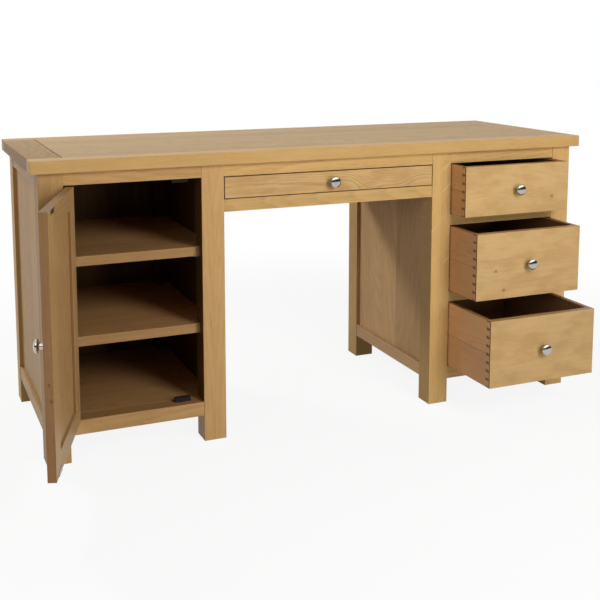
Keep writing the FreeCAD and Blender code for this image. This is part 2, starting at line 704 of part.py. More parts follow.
def write_parts():
    """Checks every object, then writes each named piece to a file of its own."""
    doc.recompute()
    failed = [thing.Name for thing in doc.Objects if {"Invalid", "Error"} & set(thing.State)]
    bad = [thing.Label for thing in nodes if thing.Shape.isNull() or not thing.Shape.isValid()]
    if failed or bad:
        raise RuntimeError(f"failed objects {failed}, bad shapes {bad}")
    os.makedirs("parts", exist_ok=True)
    for thing in nodes:
        thing.Shape.exportStep(f"parts/{thing.Label}.step")
        print(thing.Label, len(thing.Shape.Solids), round(thing.Shape.Volume))


fill_sheet()
framed_top()
KNEE_RAILS = kneehole_rails()
cupboard()
drawer_stack()
runners_and_pads()
drawers()
door()
write_parts()
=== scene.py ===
# %% [markdown]
# # An oak pedestal desk
#
# The desk is a framed oak top on two pedestals: a cupboard on the left, three dovetailed drawers on the
# right. Every board, hinge and knob comes in at its true size and place, so this lesson is about looks.
# Each board gets oak whose grain runs the way the joiner laid it. The knobs and screws are modelled afresh.

# %% Load the desk
import json
import math

import bpy
from mathutils import Matrix, Vector

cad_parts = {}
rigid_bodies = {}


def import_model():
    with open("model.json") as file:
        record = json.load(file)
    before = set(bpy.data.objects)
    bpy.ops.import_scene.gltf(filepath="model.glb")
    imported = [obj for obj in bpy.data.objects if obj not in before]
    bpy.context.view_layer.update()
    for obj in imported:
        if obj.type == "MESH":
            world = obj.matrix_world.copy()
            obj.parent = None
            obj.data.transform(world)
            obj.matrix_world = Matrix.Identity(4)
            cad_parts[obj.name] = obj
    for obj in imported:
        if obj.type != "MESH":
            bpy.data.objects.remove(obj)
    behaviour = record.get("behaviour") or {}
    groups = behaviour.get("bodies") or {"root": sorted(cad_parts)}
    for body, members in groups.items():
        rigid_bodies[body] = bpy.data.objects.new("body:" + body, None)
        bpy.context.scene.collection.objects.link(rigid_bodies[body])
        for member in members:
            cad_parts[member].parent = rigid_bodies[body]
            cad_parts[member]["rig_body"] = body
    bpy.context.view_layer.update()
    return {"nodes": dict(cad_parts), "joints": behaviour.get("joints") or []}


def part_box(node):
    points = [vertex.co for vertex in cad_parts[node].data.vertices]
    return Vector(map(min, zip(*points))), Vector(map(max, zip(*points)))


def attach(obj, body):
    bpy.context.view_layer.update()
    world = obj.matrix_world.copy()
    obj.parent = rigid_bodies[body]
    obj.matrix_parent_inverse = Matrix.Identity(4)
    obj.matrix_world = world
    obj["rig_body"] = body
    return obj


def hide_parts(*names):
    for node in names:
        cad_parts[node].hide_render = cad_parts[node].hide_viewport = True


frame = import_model()
NODES = frame["nodes"]
BODY_OF = {name: piece["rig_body"] for name, piece in NODES.items()}

# %% [markdown]
# ## Nodes written as arithmetic
#
# A material is a graph of nodes, and a graph written link by link is hard to read. Each of these helpers
# adds one node and returns its output, so that a formula reads almost like arithmetic.

# %% Helpers for single nodes
def add(tree, kind, inputs, **settings):
    """Adds a node; each input is linked to a socket or set to a value."""
    made = tree.nodes.new(kind)
    for name, value in settings.items():
        setattr(made, name, value)
    for socket, value in inputs.items():
        if isinstance(value, bpy.types.NodeSocket):
            tree.links.new(value, made.inputs[socket])
        else:
            made.inputs[socket].default_value = value
    return made


def calc(tree, operation, *terms):
    return add(tree, "ShaderNodeMath", dict(enumerate(terms)), operation=operation).outputs[0]


def times(tree, first, second):
    return calc(tree, "MULTIPLY", first, second)


def plus(tree, first, second):
    return calc(tree, "ADD", first, second)


def minus(tree, first, second):
    return calc(tree, "SUBTRACT", first, second)


def move(tree, operation, *terms):
    return add(tree, "ShaderNodeVectorMath", dict(enumerate(terms)), operation=operation).outputs[0]


def length(tree, vector):
    return add(tree, "ShaderNodeVectorMath", {0: vector}, operation="LENGTH").outputs["Value"]


def parts(tree, vector):
    """The X, Y and Z of a vector."""
    return add(tree, "ShaderNodeSeparateXYZ", {0: vector}).outputs


def object_place(tree):
    return tree.nodes.new("ShaderNodeTexCoord").outputs["Object"]


print("single nodes are ready")

# %% [markdown]
# ## Masks, mixes and noise
#
# Wood is painted in layers: a mask says where a layer shows, and a mix lays it over what is there. A
# picture of wood would repeat, and every piece would have to be laid out flat for it, so the masks come
# from noise. Drawn out along one axis, it turns from clouds into streaks and pores.

# %% Helpers for masks and colours
def fade(tree, value, low, high):
    """Rises smoothly from 0 at low to 1 at high."""
    inputs = {"Value": value, "From Min": low, "From Max": high}
    return add(tree, "ShaderNodeMapRange", inputs, interpolation_type="SMOOTHSTEP").outputs[0]


def between(tree, value, low, high):
    """Stretches a mask of 0 to 1 over a range of values."""
    return add(tree, "ShaderNodeMapRange", {"Value": value, "To Min": low, "To Max": high}).outputs[0]


def inverse(tree, mask):
    return minus(tree, 1.0, mask)


def mix(tree, share, first, second, blend="MIX"):
    """Mixes two colours; a colour mix has its factor in socket 0 and the colours in 6 and 7."""
    sockets = {0: share, 6: first, 7: second}
    return add(tree, "ShaderNodeMix", sockets, data_type="RGBA", blend_type=blend).outputs[2]


def glaze(tree, colour, mask, strength, other):
    """Lays another colour over this one where the mask is, at some strength."""
    return mix(tree, times(tree, mask, strength), colour, other)


def noise(tree, vector, stretch, seed, detail):
    """Noise that is drawn out along the axes where stretch is small."""
    stretched = move(tree, "MULTIPLY", vector, stretch)
    inputs = {"Vector": stretched, "W": seed, "Scale": 1.0, "Detail": detail}
    return add(tree, "ShaderNodeTexNoise", inputs, noise_dimensions="4D").outputs["Fac"]


print("masks and mixes are ready")

# %% [markdown]
# ## Node groups
#
# Nearly fifty boards share the same rings, pores and worn edges. Such an effect could be written into every
# material, but a node group is built once and placed in each, with its own values.

# %% Helpers for node groups
def new_group(name, vectors, numbers, results):
    """An empty node group, with the inner ends of its inputs and outputs."""
    tree = bpy.data.node_groups.new(name, "ShaderNodeTree")
    sockets = [(title, "INPUT", "NodeSocketVector") for title in vectors]
    sockets += [(title, "INPUT", "NodeSocketFloat") for title in numbers]
    sockets += [(title, "OUTPUT", "NodeSocketFloat") for title in results]
    for title, side, kind in sockets:
        tree.interface.new_socket(title, in_out=side, socket_type=kind)
    return tree, tree.nodes.new("NodeGroupInput").outputs, tree.nodes.new("NodeGroupOutput").inputs


def finish_group(tree, out, results):
    for title, socket in results.items():
        tree.links.new(socket, out[title])
    print("group", tree.name, "with", len(tree.nodes), "nodes")
    return tree


def use(tree, group, inputs):
    """Places a node group and returns its outputs."""
    return add(tree, "ShaderNodeGroup", inputs, node_tree=group).outputs


print("node groups are ready")

# %% [markdown]
# ## Staves
#
# A wide panel is glued from narrow staves, each sawn from another part of the log, so the grain jumps at
# every joint. Each stave could be an object of its own. It is less work to number the staves in the shader:
# white noise on the number gives each one its own chances, for its pith and its tone.

# %% Which stave a point is on
STAVE_SEED_GAP = 13.7


def find_stave(tree, given, across):
    """The place across the stave, the stave's draw, and the chances that the draw gives."""
    staves = plus(tree, calc(tree, "DIVIDE", across, given["Stave"]), 0.5)
    draw = calc(tree, "MULTIPLY_ADD", given["Seed"], STAVE_SEED_GAP, calc(tree, "FLOOR", staves))
    chance = add(tree, "ShaderNodeTexWhiteNoise", {"W": draw}, noise_dimensions="1D").outputs
    from_middle = minus(tree, calc(tree, "FRACT", staves), 0.5)
    return times(tree, from_middle, given["Stave"]), draw, chance


print("staves are drawn with a seed gap of", STAVE_SEED_GAP)

# %% [markdown]
# ## Distance from the pith
#
# A board is a slice of a log. Cut far from the pith, its face shows straight lines; cut near it, arches. A
# flat pattern would need a drawing for each face, so the texture is solid: it measures how far each point
# is from a pith line that leans a little, and any face just slices it.

# %% How far a point is from the pith
LEAN_MOST = 0.09
SLOW_WAVE = {"stretch": (1.3, 7.0, 7.0), "detail": 1.0, "depth": 0.030}
SMALL_WAVE = {"stretch": (5.0, 55.0, 55.0), "detail": 2.0, "depth": 0.0022}


def wave(tree, given, draw, shape):
    hills = noise(tree, given["Vector"], shape["stretch"], draw, shape["detail"])
    return times(tree, hills, shape["depth"])


def pith_distance(tree, given, in_stave, draw, chance):
    along, _, through = parts(tree, given["Vector"])
    side, depth, lean = add(tree, "ShaderNodeSeparateColor", {0: chance["Color"]}).outputs[:3]
    pith_side = times(tree, minus(tree, side, 0.5), given["Pith"])
    pith_depth = times(tree, plus(tree, depth, 0.5), given["Pith"])
    leaning = times(tree, minus(tree, lean, 0.5), LEAN_MOST)
    height = calc(tree, "MULTIPLY_ADD", along, leaning, plus(tree, through, pith_depth))
    width = plus(tree, in_stave, pith_side)
    radius = length(tree, add(tree, "ShaderNodeCombineXYZ", {1: width, 2: height}).outputs[0])
    slow = plus(tree, radius, wave(tree, given, draw, SLOW_WAVE))
    small = plus(tree, wave(tree, given, draw, SMALL_WAVE), given["Swirl"])
    return plus(tree, slow, small)


print("rings waver by", SLOW_WAVE["depth"] + SMALL_WAVE["depth"], "m")

# %% [markdown]
# ## Growth rings
#
# Each year the tree adds open, darker spring wood and then dense, paler summer wood, so across a year the
# colour fades one way and jumps back. The Wave texture has rings too, but they are all alike. Here a year
# is the distance from the pith, divided by a year's width, with only the fraction kept, and noise makes the
# years uneven. The group also marks the thin glue line between two staves.

# %% Node group: rings of the log
UNEVEN_YEARS, YEAR_NOISE, SPRING_WOOD = 0.9, 0.45, (0.05, 0.85)
LOG_INPUTS = ("Seed", "Stave", "Pith", "Ring", "Swirl", "Line")

tree, given, out = new_group("log_rings", ["Vector"], LOG_INPUTS, ["Rings", "Tone", "Glue"])
in_stave, draw, chance = find_stave(tree, given, parts(tree, given["Vector"])[1])
years = calc(tree, "DIVIDE", pith_distance(tree, given, in_stave, draw, chance), given["Ring"])
wide = {"W": years, "Scale": YEAR_NOISE}
uneven = add(tree, "ShaderNodeTexNoise", wide, noise_dimensions="1D").outputs["Fac"]
year = calc(tree, "FRACT", calc(tree, "MULTIPLY_ADD", uneven, UNEVEN_YEARS, years))
spring = inverse(tree, fade(tree, year, *SPRING_WOOD))
half = times(tree, given["Stave"], 0.5)
line_start = minus(tree, half, given["Line"])
glue = fade(tree, calc(tree, "ABSOLUTE", in_stave), line_start, half)
LOG_RINGS = finish_group(tree, out, {"Rings": spring, "Tone": chance["Value"], "Glue": glue})

# %% [markdown]
# ## Pores, streaks and ray flecks
#
# Oak is told from other woods by its long open pores and, on some faces, by pale flecks across the grain.
# Noise gives all of these without repeating: drawn out along the board for streaks, pores and the dashes
# that break the ring lines, rounder for blotches and clouds, and set aslant for flecks.

# %% Node group: pores of the oak
GRAIN = {
    "Streaks": {"stretch": (2.4, 120.0, 120.0), "detail": 4.0, "shows": (0.32, 0.68)},
    "Pores": {"stretch": (42.0, 1300.0, 1300.0), "detail": 1.0, "shows": (0.55, 0.72)},
    "Dashes": {"stretch": (24.0, 230.0, 230.0), "detail": 2.0, "shows": (0.36, 0.62)},
    "Blotches": {"stretch": (13.0, 34.0, 34.0), "detail": 3.0, "shows": (0.40, 0.64)},
}
FLECK = {"stretch": (150.0, 11.0, 11.0), "detail": 2.0, "shows": (0.60, 0.72)}
FLECK_PATCH = {"stretch": (7.0, 9.0, 9.0), "detail": 1.0, "shows": (0.36, 0.56)}
CLOUD_STRETCH, CLOUD_DETAIL = (3.0, 11.0, 11.0), 2.0


def grain_mask(tree, vector, seed, shape):
    return fade(tree, noise(tree, vector, shape["stretch"], seed, shape["detail"]), *shape["shows"])


tree, given, out = new_group("oak_pores", ["Vector"], ["Seed"], [*GRAIN, "Flecks", "Clouds"])
vector, seed = given["Vector"], given["Seed"]
results = {title: grain_mask(tree, vector, seed, shape) for title, shape in GRAIN.items()}
along, across, through = parts(tree, vector)
over, down = minus(tree, along, across), plus(tree, along, across)
aslant = add(tree, "ShaderNodeCombineXYZ", {0: over, 1: down, 2: through}).outputs[0]
fine = grain_mask(tree, aslant, seed, FLECK)
results["Flecks"] = times(tree, fine, grain_mask(tree, vector, seed, FLECK_PATCH))
results["Clouds"] = noise(tree, vector, CLOUD_STRETCH, seed, CLOUD_DETAIL)
OAK_PORES = finish_group(tree, out, results)

# %% [markdown]
# ## Knots
#
# Some drawer fronts have a small knot, the root of a twig, and the grain flows round it. A dark dot alone
# looks stuck on, so a knot also pushes the rings outwards, by an amount that falls off like a bell. Without
# its core it gives arches.

# %% Node group: a knot
KNOT_SQUASH, KNOT_FALL, KNOT_PUSH, KNOT_CORE = (0.8, 1.0, 1.0), -0.35, 0.9, 0.7

tree, given, out = new_group("pin_knot", ["Vector", "Centre"], ["Size"], ["Swirl", "Core"])
offset = move(tree, "MULTIPLY", move(tree, "SUBTRACT", given["Vector"], given["Centre"]), KNOT_SQUASH)
far = calc(tree, "DIVIDE", length(tree, offset), given["Size"])
bell = calc(tree, "EXPONENT", times(tree, times(tree, far, far), KNOT_FALL))
swirl = times(tree, times(tree, bell, given["Size"]), KNOT_PUSH)
core = inverse(tree, fade(tree, far, 0.0, KNOT_CORE))
PIN_KNOT = finish_group(tree, out, {"Swirl": swirl, "Core": core})

# %% [markdown]
# ## Worn edges
#
# Lacquer on an edge is rubbed a little paler. The edges could be painted by hand; here a rounded copy of
# the normal is compared with the true normal, and where they differ there is an edge.

# %% Node group: worn edges
EDGE_SAMPLES, EDGE_SHOWS = 4, (0.75, 0.99)

tree, given, out = new_group("worn_edges", [], ["Reach"], ["Edge"])
rounded = add(tree, "ShaderNodeBevel", {"Radius": given["Reach"]}, samples=EDGE_SAMPLES).outputs[0]
true = tree.nodes.new("ShaderNodeNewGeometry").outputs["Normal"]
compared = add(tree, "ShaderNodeVectorMath", {0: rounded, 1: true}, operation="DOT_PRODUCT")
edge = inverse(tree, fade(tree, compared.outputs["Value"], *EDGE_SHOWS))
WORN_EDGES = finish_group(tree, out, {"Edge": edge})

# %% [markdown]
# ## Inside or outside
#
# The same leg is lacquered oak outside, and inside the cupboard it is darkened with painted shade, as the
# wood there is hardly lit. It could be cut in two; a mask that is 1 inside a box does it with one material.

# %% Node group: inside a box
tree, given, out = new_group("inside_box", ["Vector", "Middle", "Half"], [], ["Inside"])
far = move(tree, "ABSOLUTE", move(tree, "SUBTRACT", given["Vector"], given["Middle"]))
over = parts(tree, move(tree, "SUBTRACT", far, given["Half"]))
most = calc(tree, "MAXIMUM", over[0], calc(tree, "MAXIMUM", over[1], over[2]))
INSIDE_BOX = finish_group(tree, out, {"Inside": calc(tree, "LESS_THAN", most, 0.0)})

# %% [markdown]
# ## Colours of the oak
#
# One log gives honey, straw and pinkish boards, and the maker sorts them: the show face gets one kind, the
# drawer sides another. Tints by chance would be less work, but they would mix what was sorted. So there is
# a palette for each kind, with a pale, a deep and a pore colour.

# %% Palettes and painted shade
FRONT_OAK = {"pale": (0.66, 0.420, 0.164), "deep": (0.47, 0.274, 0.089), "pore": (0.20, 0.10, 0.032)}
WARM_OAK = {"pale": (0.67, 0.412, 0.170), "deep": (0.49, 0.255, 0.090), "pore": (0.20, 0.09, 0.030)}
PALE_OAK = {"pale": (0.67, 0.440, 0.190), "deep": (0.49, 0.273, 0.101), "pore": (0.20, 0.09, 0.030)}
DRAWER_OAK = {"pale": (0.70, 0.395, 0.180), "deep": (0.53, 0.275, 0.110), "pore": (0.20, 0.085, 0.032)}
# PANEL_OAK is pinker and duller as painted shade: it gives the side panels and frame rails the colour they
# have in shade.
PANEL_OAK = {"pale": (0.64, 0.410, 0.205), "deep": (0.47, 0.275, 0.120), "pore": (0.20, 0.10, 0.040)}
PLYWOOD = {"pale": (0.60, 0.43, 0.24), "deep": (0.50, 0.33, 0.16), "pore": (0.34, 0.21, 0.10)}
FLECK_COLOUR = (0.80, 0.58, 0.28, 1)
END_GRAIN_AND_SIDE_SHADE = (0.190, 0.082, 0.036, 1)
WORN_COLOUR = (0.76, 0.52, 0.24, 1)
# Painted shade: the next four colours darken the wood inside the pedestals, on the shelves, on the bottom
# rails and in the drawers, where it is hardly lit.
WALL_PAINTED_SHADE = (0.15, 0.12, 0.10, 1)
SHELF_PAINTED_SHADE = (0.99, 0.92, 0.90, 1)
DRAWER_PAINTED_SHADE = (0.30, 0.25, 0.22, 1)
FLOOR_RAIL_PAINTED_SHADE = (1.0, 0.94, 0.88, 1)


def rgba(colour, tone=1.0):
    return (colour[0] * tone, colour[1] * tone, colour[2] * tone, 1)


print("six palettes and four stains")

# %% [markdown]
# ## Settings of a board
#
# A show front and a hidden rail are the same oak, sorted and finished in another way. All boards share
# these settings, and a board that differs names only what differs. Lengths are in metres, and a strength of
# 0 leaves an effect out.

# %% What a plain board has
PLAIN_BOARD = {
    "palette": FRONT_OAK,
    "tone": 1.0,
    "staves": 1,
    "pith": 0.10,  # how far the pith may lie from the board
    "ring": 0.0034,  # width of a year
    "figure": 0.28,  # strength of the ring lines
    "streaks": 0.30,
    "pore_depth": 0.50,
    "blotches": 0.14,
    "flecks": 0.0,
    "uneven": 0.15,  # how far the staves differ in tone
    "knots": (),  # centre and size of each knot
    "knot_depth": 0.55,
    "arches": (),  # centre and size of each swelling of the rings
    "ends": 0.5,  # darkness of the end grain
    "sides": 0.0,  # painted shade on the narrow edges
    "glue": (0.0006, 0.35),  # width and strength of the glue lines
    "seams": (),  # axis and place of each dark joint
    "shine": 0.26,
    "inside": None,  # the box in which painted shade darkens the wood
    # the colour that multiplies the wood in that box, as painted shade
    "stain": WALL_PAINTED_SHADE,
    "back_rails": None,  # the depth behind which the boards run along the desk
}
print(len(PLAIN_BOARD), "settings for a board")

# %% [markdown]
# ## A board's own directions
#
# The grain runs up a leg but along a rail. A UV map for every piece would do it. A Mapping node is simpler:
# it turns Object coordinates until X runs along the grain, and moves the board's middle to zero. The face's
# normal is turned in the same way.

# %% Coordinates on a board
RIGHT, BACK, UP = Vector((1, 0, 0)), Vector((0, 1, 0)), Vector((0, 0, 1))


def board_space(tree, middle, along, across):
    """Coordinates, and the face's normal, with X along the grain and the board's middle at zero."""
    turn = Matrix((along, across, along.cross(across)))
    angles = turn.to_euler("XYZ")
    source = tree.nodes.new("ShaderNodeTexCoord").outputs
    placed = {"Vector": source["Object"], "Rotation": angles, "Location": -(turn @ middle)}
    turned = {"Vector": source["Normal"], "Rotation": angles}
    place = add(tree, "ShaderNodeMapping", placed, vector_type="POINT").outputs[0]
    facing = add(tree, "ShaderNodeMapping", turned, vector_type="VECTOR").outputs[0]
    return place, facing


def lay_out(tree, name, along, across, look):
    """Where a point is on the board, which way its face looks, and how wide one stave is."""
    low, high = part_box(name)
    middle, size = (low + high) / 2, high - low
    stave = sum(abs(across[axis]) * size[axis] for axis in range(3)) / look["staves"]
    if look["staves"] % 2 == 0:
        middle = middle + across * (stave / 2)
    place, facing = board_space(tree, middle, along, across)
    if look["back_rails"]:
        behind = calc(tree, "GREATER_THAN", parts(tree, object_place(tree))[1], look["back_rails"])
        back_place, back_facing = board_space(tree, middle, RIGHT, UP)
        place = mix(tree, behind, place, back_place)
        facing = mix(tree, behind, facing, back_facing)
    return place, facing, stave


print("board directions: right", tuple(RIGHT), "back", tuple(BACK), "up", tuple(UP))

# %% [markdown]
# ## Grain of a board
#
# Here the groups meet. Knots and arches swell the distance that the rings are cut from, so they come first.
# Pores open mostly in spring wood, so their mask is weakened in the dense summer wood.

# %% Masks of the grain
PORES_BY_RING = (0.35, 1.0)


def bend_rings(tree, place, look):
    """How far knots and arches push the rings, and the mask of the knots' cores."""
    swirl, core = 0.0, None
    for centre, size in look["knots"] + look["arches"]:
        knot = use(tree, PIN_KNOT, {"Vector": place, "Centre": centre, "Size": size})
        swirl = plus(tree, swirl, knot["Swirl"])
        if (centre, size) in look["knots"]:
            core = calc(tree, "MAXIMUM", core, knot["Core"]) if core else knot["Core"]
    return swirl, core


def grain_of(tree, place, stave, seed, look):
    """All masks of the grain, by name."""
    swirl, core = bend_rings(tree, place, look)
    log = {"Vector": place, "Seed": seed, "Stave": stave, "Swirl": swirl}
    log |= {"Pith": look["pith"], "Ring": look["ring"], "Line": look["glue"][0]}
    rings = use(tree, LOG_RINGS, log)
    pores = use(tree, OAK_PORES, {"Vector": place, "Seed": seed})
    grain = {socket.name: socket for socket in (*rings, *pores)}
    grain["Core"] = core
    grain["Open"] = times(tree, grain["Pores"], between(tree, grain["Rings"], *PORES_BY_RING))
    return grain


print("grain is built from", LOG_RINGS.name, "and", OAK_PORES.name)

# %% [markdown]
# ## Colour of a board
#
# The colour is built up in layers: pale wood, ring lines broken into dashes, pores, blotches, flecks, then
# the tone of each stave, glue lines and knots. A single colour ramp couldn't hold so many marks. Blotches
# and tones are thin glazes, so they come after the grain without hiding it. Glue lines and knots come last
# and stay crisp.

# %% Colour from the grain
BROKEN_LINES, CLOUD_TONES, KNOT_TONE = (0.45, 1.25), (0.83, 1.05), 0.6


def grain_colour(tree, grain, look):
    shades = look["palette"]
    pale, deep, pore = (rgba(shades[shade], look["tone"]) for shade in ("pale", "deep", "pore"))
    lines = times(tree, grain["Rings"], between(tree, grain["Dashes"], *BROKEN_LINES))
    lines = times(tree, lines, look["figure"])
    lines = calc(tree, "MULTIPLY_ADD", grain["Streaks"], look["streaks"], lines)
    colour = mix(tree, lines, pale, deep)
    colour = glaze(tree, colour, grain["Open"], look["pore_depth"], pore)
    colour = glaze(tree, colour, grain["Blotches"], look["blotches"], deep)
    if look["flecks"]:
        colour = glaze(tree, colour, grain["Flecks"], look["flecks"], FLECK_COLOUR)
    clouds = between(tree, grain["Clouds"], *CLOUD_TONES)
    tone = calc(tree, "MULTIPLY_ADD", grain["Tone"], look["uneven"], clouds)
    grey = add(tree, "ShaderNodeCombineColor", {0: tone, 1: tone, 2: tone}).outputs[0]
    colour = mix(tree, 1.0, colour, grey, "MULTIPLY")
    colour = glaze(tree, colour, grain["Glue"], look["glue"][1], rgba(shades["pore"]))
    if grain["Core"]:
        colour = glaze(tree, colour, grain["Core"], look["knot_depth"], rgba(shades["pore"], KNOT_TONE))
    return colour


print("ring lines keep", BROKEN_LINES[0], "of their strength where they break")

# %% [markdown]
# ## Ends and edges
#
# End grain drinks more lacquer than a face does, so faces square to the grain are darkened. This makes the
# dovetails at the drawer corners stand out. The normal, turned into the board's directions, tells an end
# from a face, so one material is enough.

# %% Darker ends, paler edges
ENDS_SHOW, SIDES_SHOW = (0.70, 0.95), (0.90, 0.99)
EDGE_REACH, EDGE_RUBBED = 0.0016, 0.18


def weather_and_shade_sides(tree, colour, facing, look):
    """Darker end grain, painted shade on the narrow sides, paler worn edges."""
    face = parts(tree, facing)
    end_grain = fade(tree, calc(tree, "ABSOLUTE", face[0]), *ENDS_SHOW)
    colour = glaze(tree, colour, end_grain, look["ends"], END_GRAIN_AND_SIDE_SHADE)
    # Painted shade: narrow side faces are darkened towards the end-grain colour.
    if look["sides"]:
        narrow = fade(tree, calc(tree, "ABSOLUTE", face[1]), *SIDES_SHOW)
        colour = glaze(tree, colour, narrow, look["sides"], END_GRAIN_AND_SIDE_SHADE)
    edge = use(tree, WORN_EDGES, {"Reach": EDGE_REACH})["Edge"]
    return glaze(tree, colour, edge, EDGE_RUBBED, WORN_COLOUR)


print("edges are rubbed over", EDGE_REACH, "m")

# %% [markdown]
# ## Joints and painted shade
#
# A real top moves with the seasons, and a dull, dark line opens where its field meets the cross-grain ends.
# It is too fine to be worth cutting into a mesh, so it is painted. The painted shade inside pedestals and
# drawers multiplies the colour, so that the grain still shows through it.

# %% Dark joints, painted shade inside
SEAM_WIDTH, SEAM_DEPTH, SEAM_TONE = (0.0007, 0.0020), 0.85, 0.45


def mark_seams(tree, colour, place, look):
    """Dark joints, and the mask of the last one, which is dull as well."""
    dull = 0.0
    for axis, seam in look["seams"]:
        away = calc(tree, "ABSOLUTE", minus(tree, parts(tree, place)[axis], seam))
        dull = inverse(tree, fade(tree, away, *SEAM_WIDTH))
        colour = glaze(tree, colour, dull, SEAM_DEPTH, rgba(look["palette"]["pore"], SEAM_TONE))
    return colour, dull


# Painted shade: inside the box the colour is multiplied by a dark colour, where the wood is hardly lit.
def paint_shade_inside(tree, colour, look):
    low, high = look["inside"]
    box = {"Vector": object_place(tree), "Middle": (low + high) / 2, "Half": (high - low) / 2}
    inside = use(tree, INSIDE_BOX, box)["Inside"]
    return mix(tree, inside, colour, mix(tree, 1.0, colour, look["stain"], "MULTIPLY"))


print("a joint is dark over", SEAM_WIDTH[1] * 2, "m")

# %% [markdown]
# ## The oak material
#
# Colour alone looks printed. Lacquer sinks into the pores, so they are rougher and lie lower, and the
# summer wood stands in slight relief. Boards could share one material, but grain directions and seeds
# differ, so each gets its own.

# %% Oak for one board
ROUGH_WOOD, ROUGH_PORES, ROUGH_SEAM = (0.40, 0.50), 0.18, 0.40
RING_RELIEF, RELIEF_STRENGTH, RELIEF_DEPTH = -0.25, 0.35, 0.0003


def connect(tree, colour, rough, bumps, shine):
    """Links colour, roughness and relief to the material's shader."""
    shader = tree.nodes["Principled BSDF"].inputs
    tree.links.new(colour, shader["Base Color"])
    tree.links.new(rough, shader["Roughness"])
    tree.links.new(add(tree, "ShaderNodeBump", bumps).outputs[0], shader["Normal"])
    shader["Specular IOR Level"].default_value = shine
    return shader


def oak(name, along, across, seed, look):
    material = bpy.data.materials.new("oak_" + name)
    material.use_nodes = True
    tree = material.node_tree
    place, facing, stave = lay_out(tree, name, along, across, look)
    grain = grain_of(tree, place, stave, seed, look)
    colour = weather_and_shade_sides(tree, grain_colour(tree, grain, look), facing, look)
    colour, dull = mark_seams(tree, colour, place, look)
    if look["inside"]:
        colour = paint_shade_inside(tree, colour, look)
    rough = between(tree, grain["Clouds"], *ROUGH_WOOD)
    rough = calc(tree, "MULTIPLY_ADD", grain["Open"], ROUGH_PORES, rough)
    rough = calc(tree, "MULTIPLY_ADD", dull, ROUGH_SEAM, rough)
    relief = minus(tree, times(tree, grain["Rings"], RING_RELIEF), grain["Open"])
    bumps = {"Height": relief, "Strength": RELIEF_STRENGTH, "Distance": RELIEF_DEPTH}
    connect(tree, colour, rough, bumps, look["shine"])
    return material


print("lacquer is rough by", ROUGH_WOOD)

# %% [markdown]
# ## The top
#
# The top is a field of six staves in a frame: strips along the front and back, and cross-grain ends. Each
# board is given the directions along and across its grain, and takes the next seed, so no two boards are
# the same and each run gives the same desk.

# %% Oak on the top
SEED_STEP = 1.618
boards = {}


def cover(name, material):
    NODES[name].data.materials.clear()
    NODES[name].data.materials.append(material)


def wood(name, along, across, **changes):
    """Puts oak on one piece; each piece takes the next seed."""
    boards[name] = oak(name, along, across, SEED_STEP * (len(boards) + 1), PLAIN_BOARD | changes)
    cover(name, boards[name])


end_low, end_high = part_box("top_left_end")
half_end = (end_high.x - end_low.x) / 2
wood("top_panel", RIGHT, BACK, staves=6, pith=0.16, seams=((0, end_high.x),))
# Painted light: the front rail of the top has a higher tone, as its front edge catches more light.
wood("top_front_rail", RIGHT, BACK, tone=1.30, streaks=0.2, pore_depth=0.3)
wood("top_back_rail", RIGHT, BACK)
# Painted shade: the left end has a lower tone and darkened narrow edges, as it stands turned from the light.
wood("top_left_end", BACK, RIGHT, tone=0.83, pith=0.2, sides=0.6, shine=0.10, seams=((1, half_end),))
wood("top_right_end", BACK, RIGHT, pith=0.2)
print(len(boards), "boards in the top")

# %% [markdown]
# ## The dark rooms
#
# Inside the pedestals the wood looks dark, being hardly lit. Lamps alone can't keep it that dark, so shade is
# painted into its colour. The room of a pedestal is the space between its side panels, back, bottom rail and
# top. It starts a little behind the front, so that a pale rim without painted shade stays.

# %% Rooms of the pedestals
HAIR, HALF_PANEL, PALE_RIM = 0.0015, 0.004, 0.004
FRONT_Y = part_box("cupboard_front_right_leg")[0].y


def room(pedestal):
    """The inside of a pedestal, grown by a hair so that it takes in the faces of its walls."""
    left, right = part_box(f"{pedestal}_side_panels")
    floor_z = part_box(f"{pedestal}_bottom_rail")[1].z
    back_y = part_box(f"{pedestal}_back_panel")[0].y
    ceiling_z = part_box("top_panel")[0].z
    low = Vector((left.x + HALF_PANEL, FRONT_Y + PALE_RIM, floor_z - HAIR))
    high = Vector((right.x - HALF_PANEL, back_y + HAIR, ceiling_z + HAIR))
    return low, high


ROOMS = {pedestal: room(pedestal) for pedestal in ("cupboard", "drawers")}
print("rooms", {name: [round(edge, 3) for edge in high - low] for name, (low, high) in ROOMS.items()})

# %% [markdown]
# ## The pedestals
#
# Each pedestal is a frame of legs and rails round flat panels. Grain runs up the legs and panels and along
# the rails, also round the corner at the back. A leg is glued from two staves, and the one beside the
# kneehole shows ray flecks. The pedestals are built alike, so one loop dresses both, and a table holds what
# differs.

# %% Oak on the pedestals
# Painted shade: the cupboard's front left leg and its top and bottom rails have lower tones, where the open
# door and the top's overhang shade them.
PEDESTALS = {
    "cupboard": {"palette": WARM_OAK, "left_flecks": 0.2, "left_shade_tone": 0.76, "rail_shade_tone": 0.84},
    "drawers": {"palette": FRONT_OAK, "left_flecks": 0.8, "left_shade_tone": 1.0, "rail_shade_tone": 1.0},
}
LEG = {"staves": 2, "pith": 0.3, "figure": 0.20, "streaks": 0.2, "pore_depth": 0.25}
# Painted shade: the side panels' tone below 1 darkens them where they face away from the light.
SIDE_PANEL = {"staves": 5, "palette": PANEL_OAK, "uneven": 0.34, "tone": 0.92, "streaks": 0.22,
              "pore_depth": 0.25, "shine": 0.06}
SHADED_SHINE, LEG_FLECKS, BACK_RAIL_THICK = 0.12, 0.2, 0.024

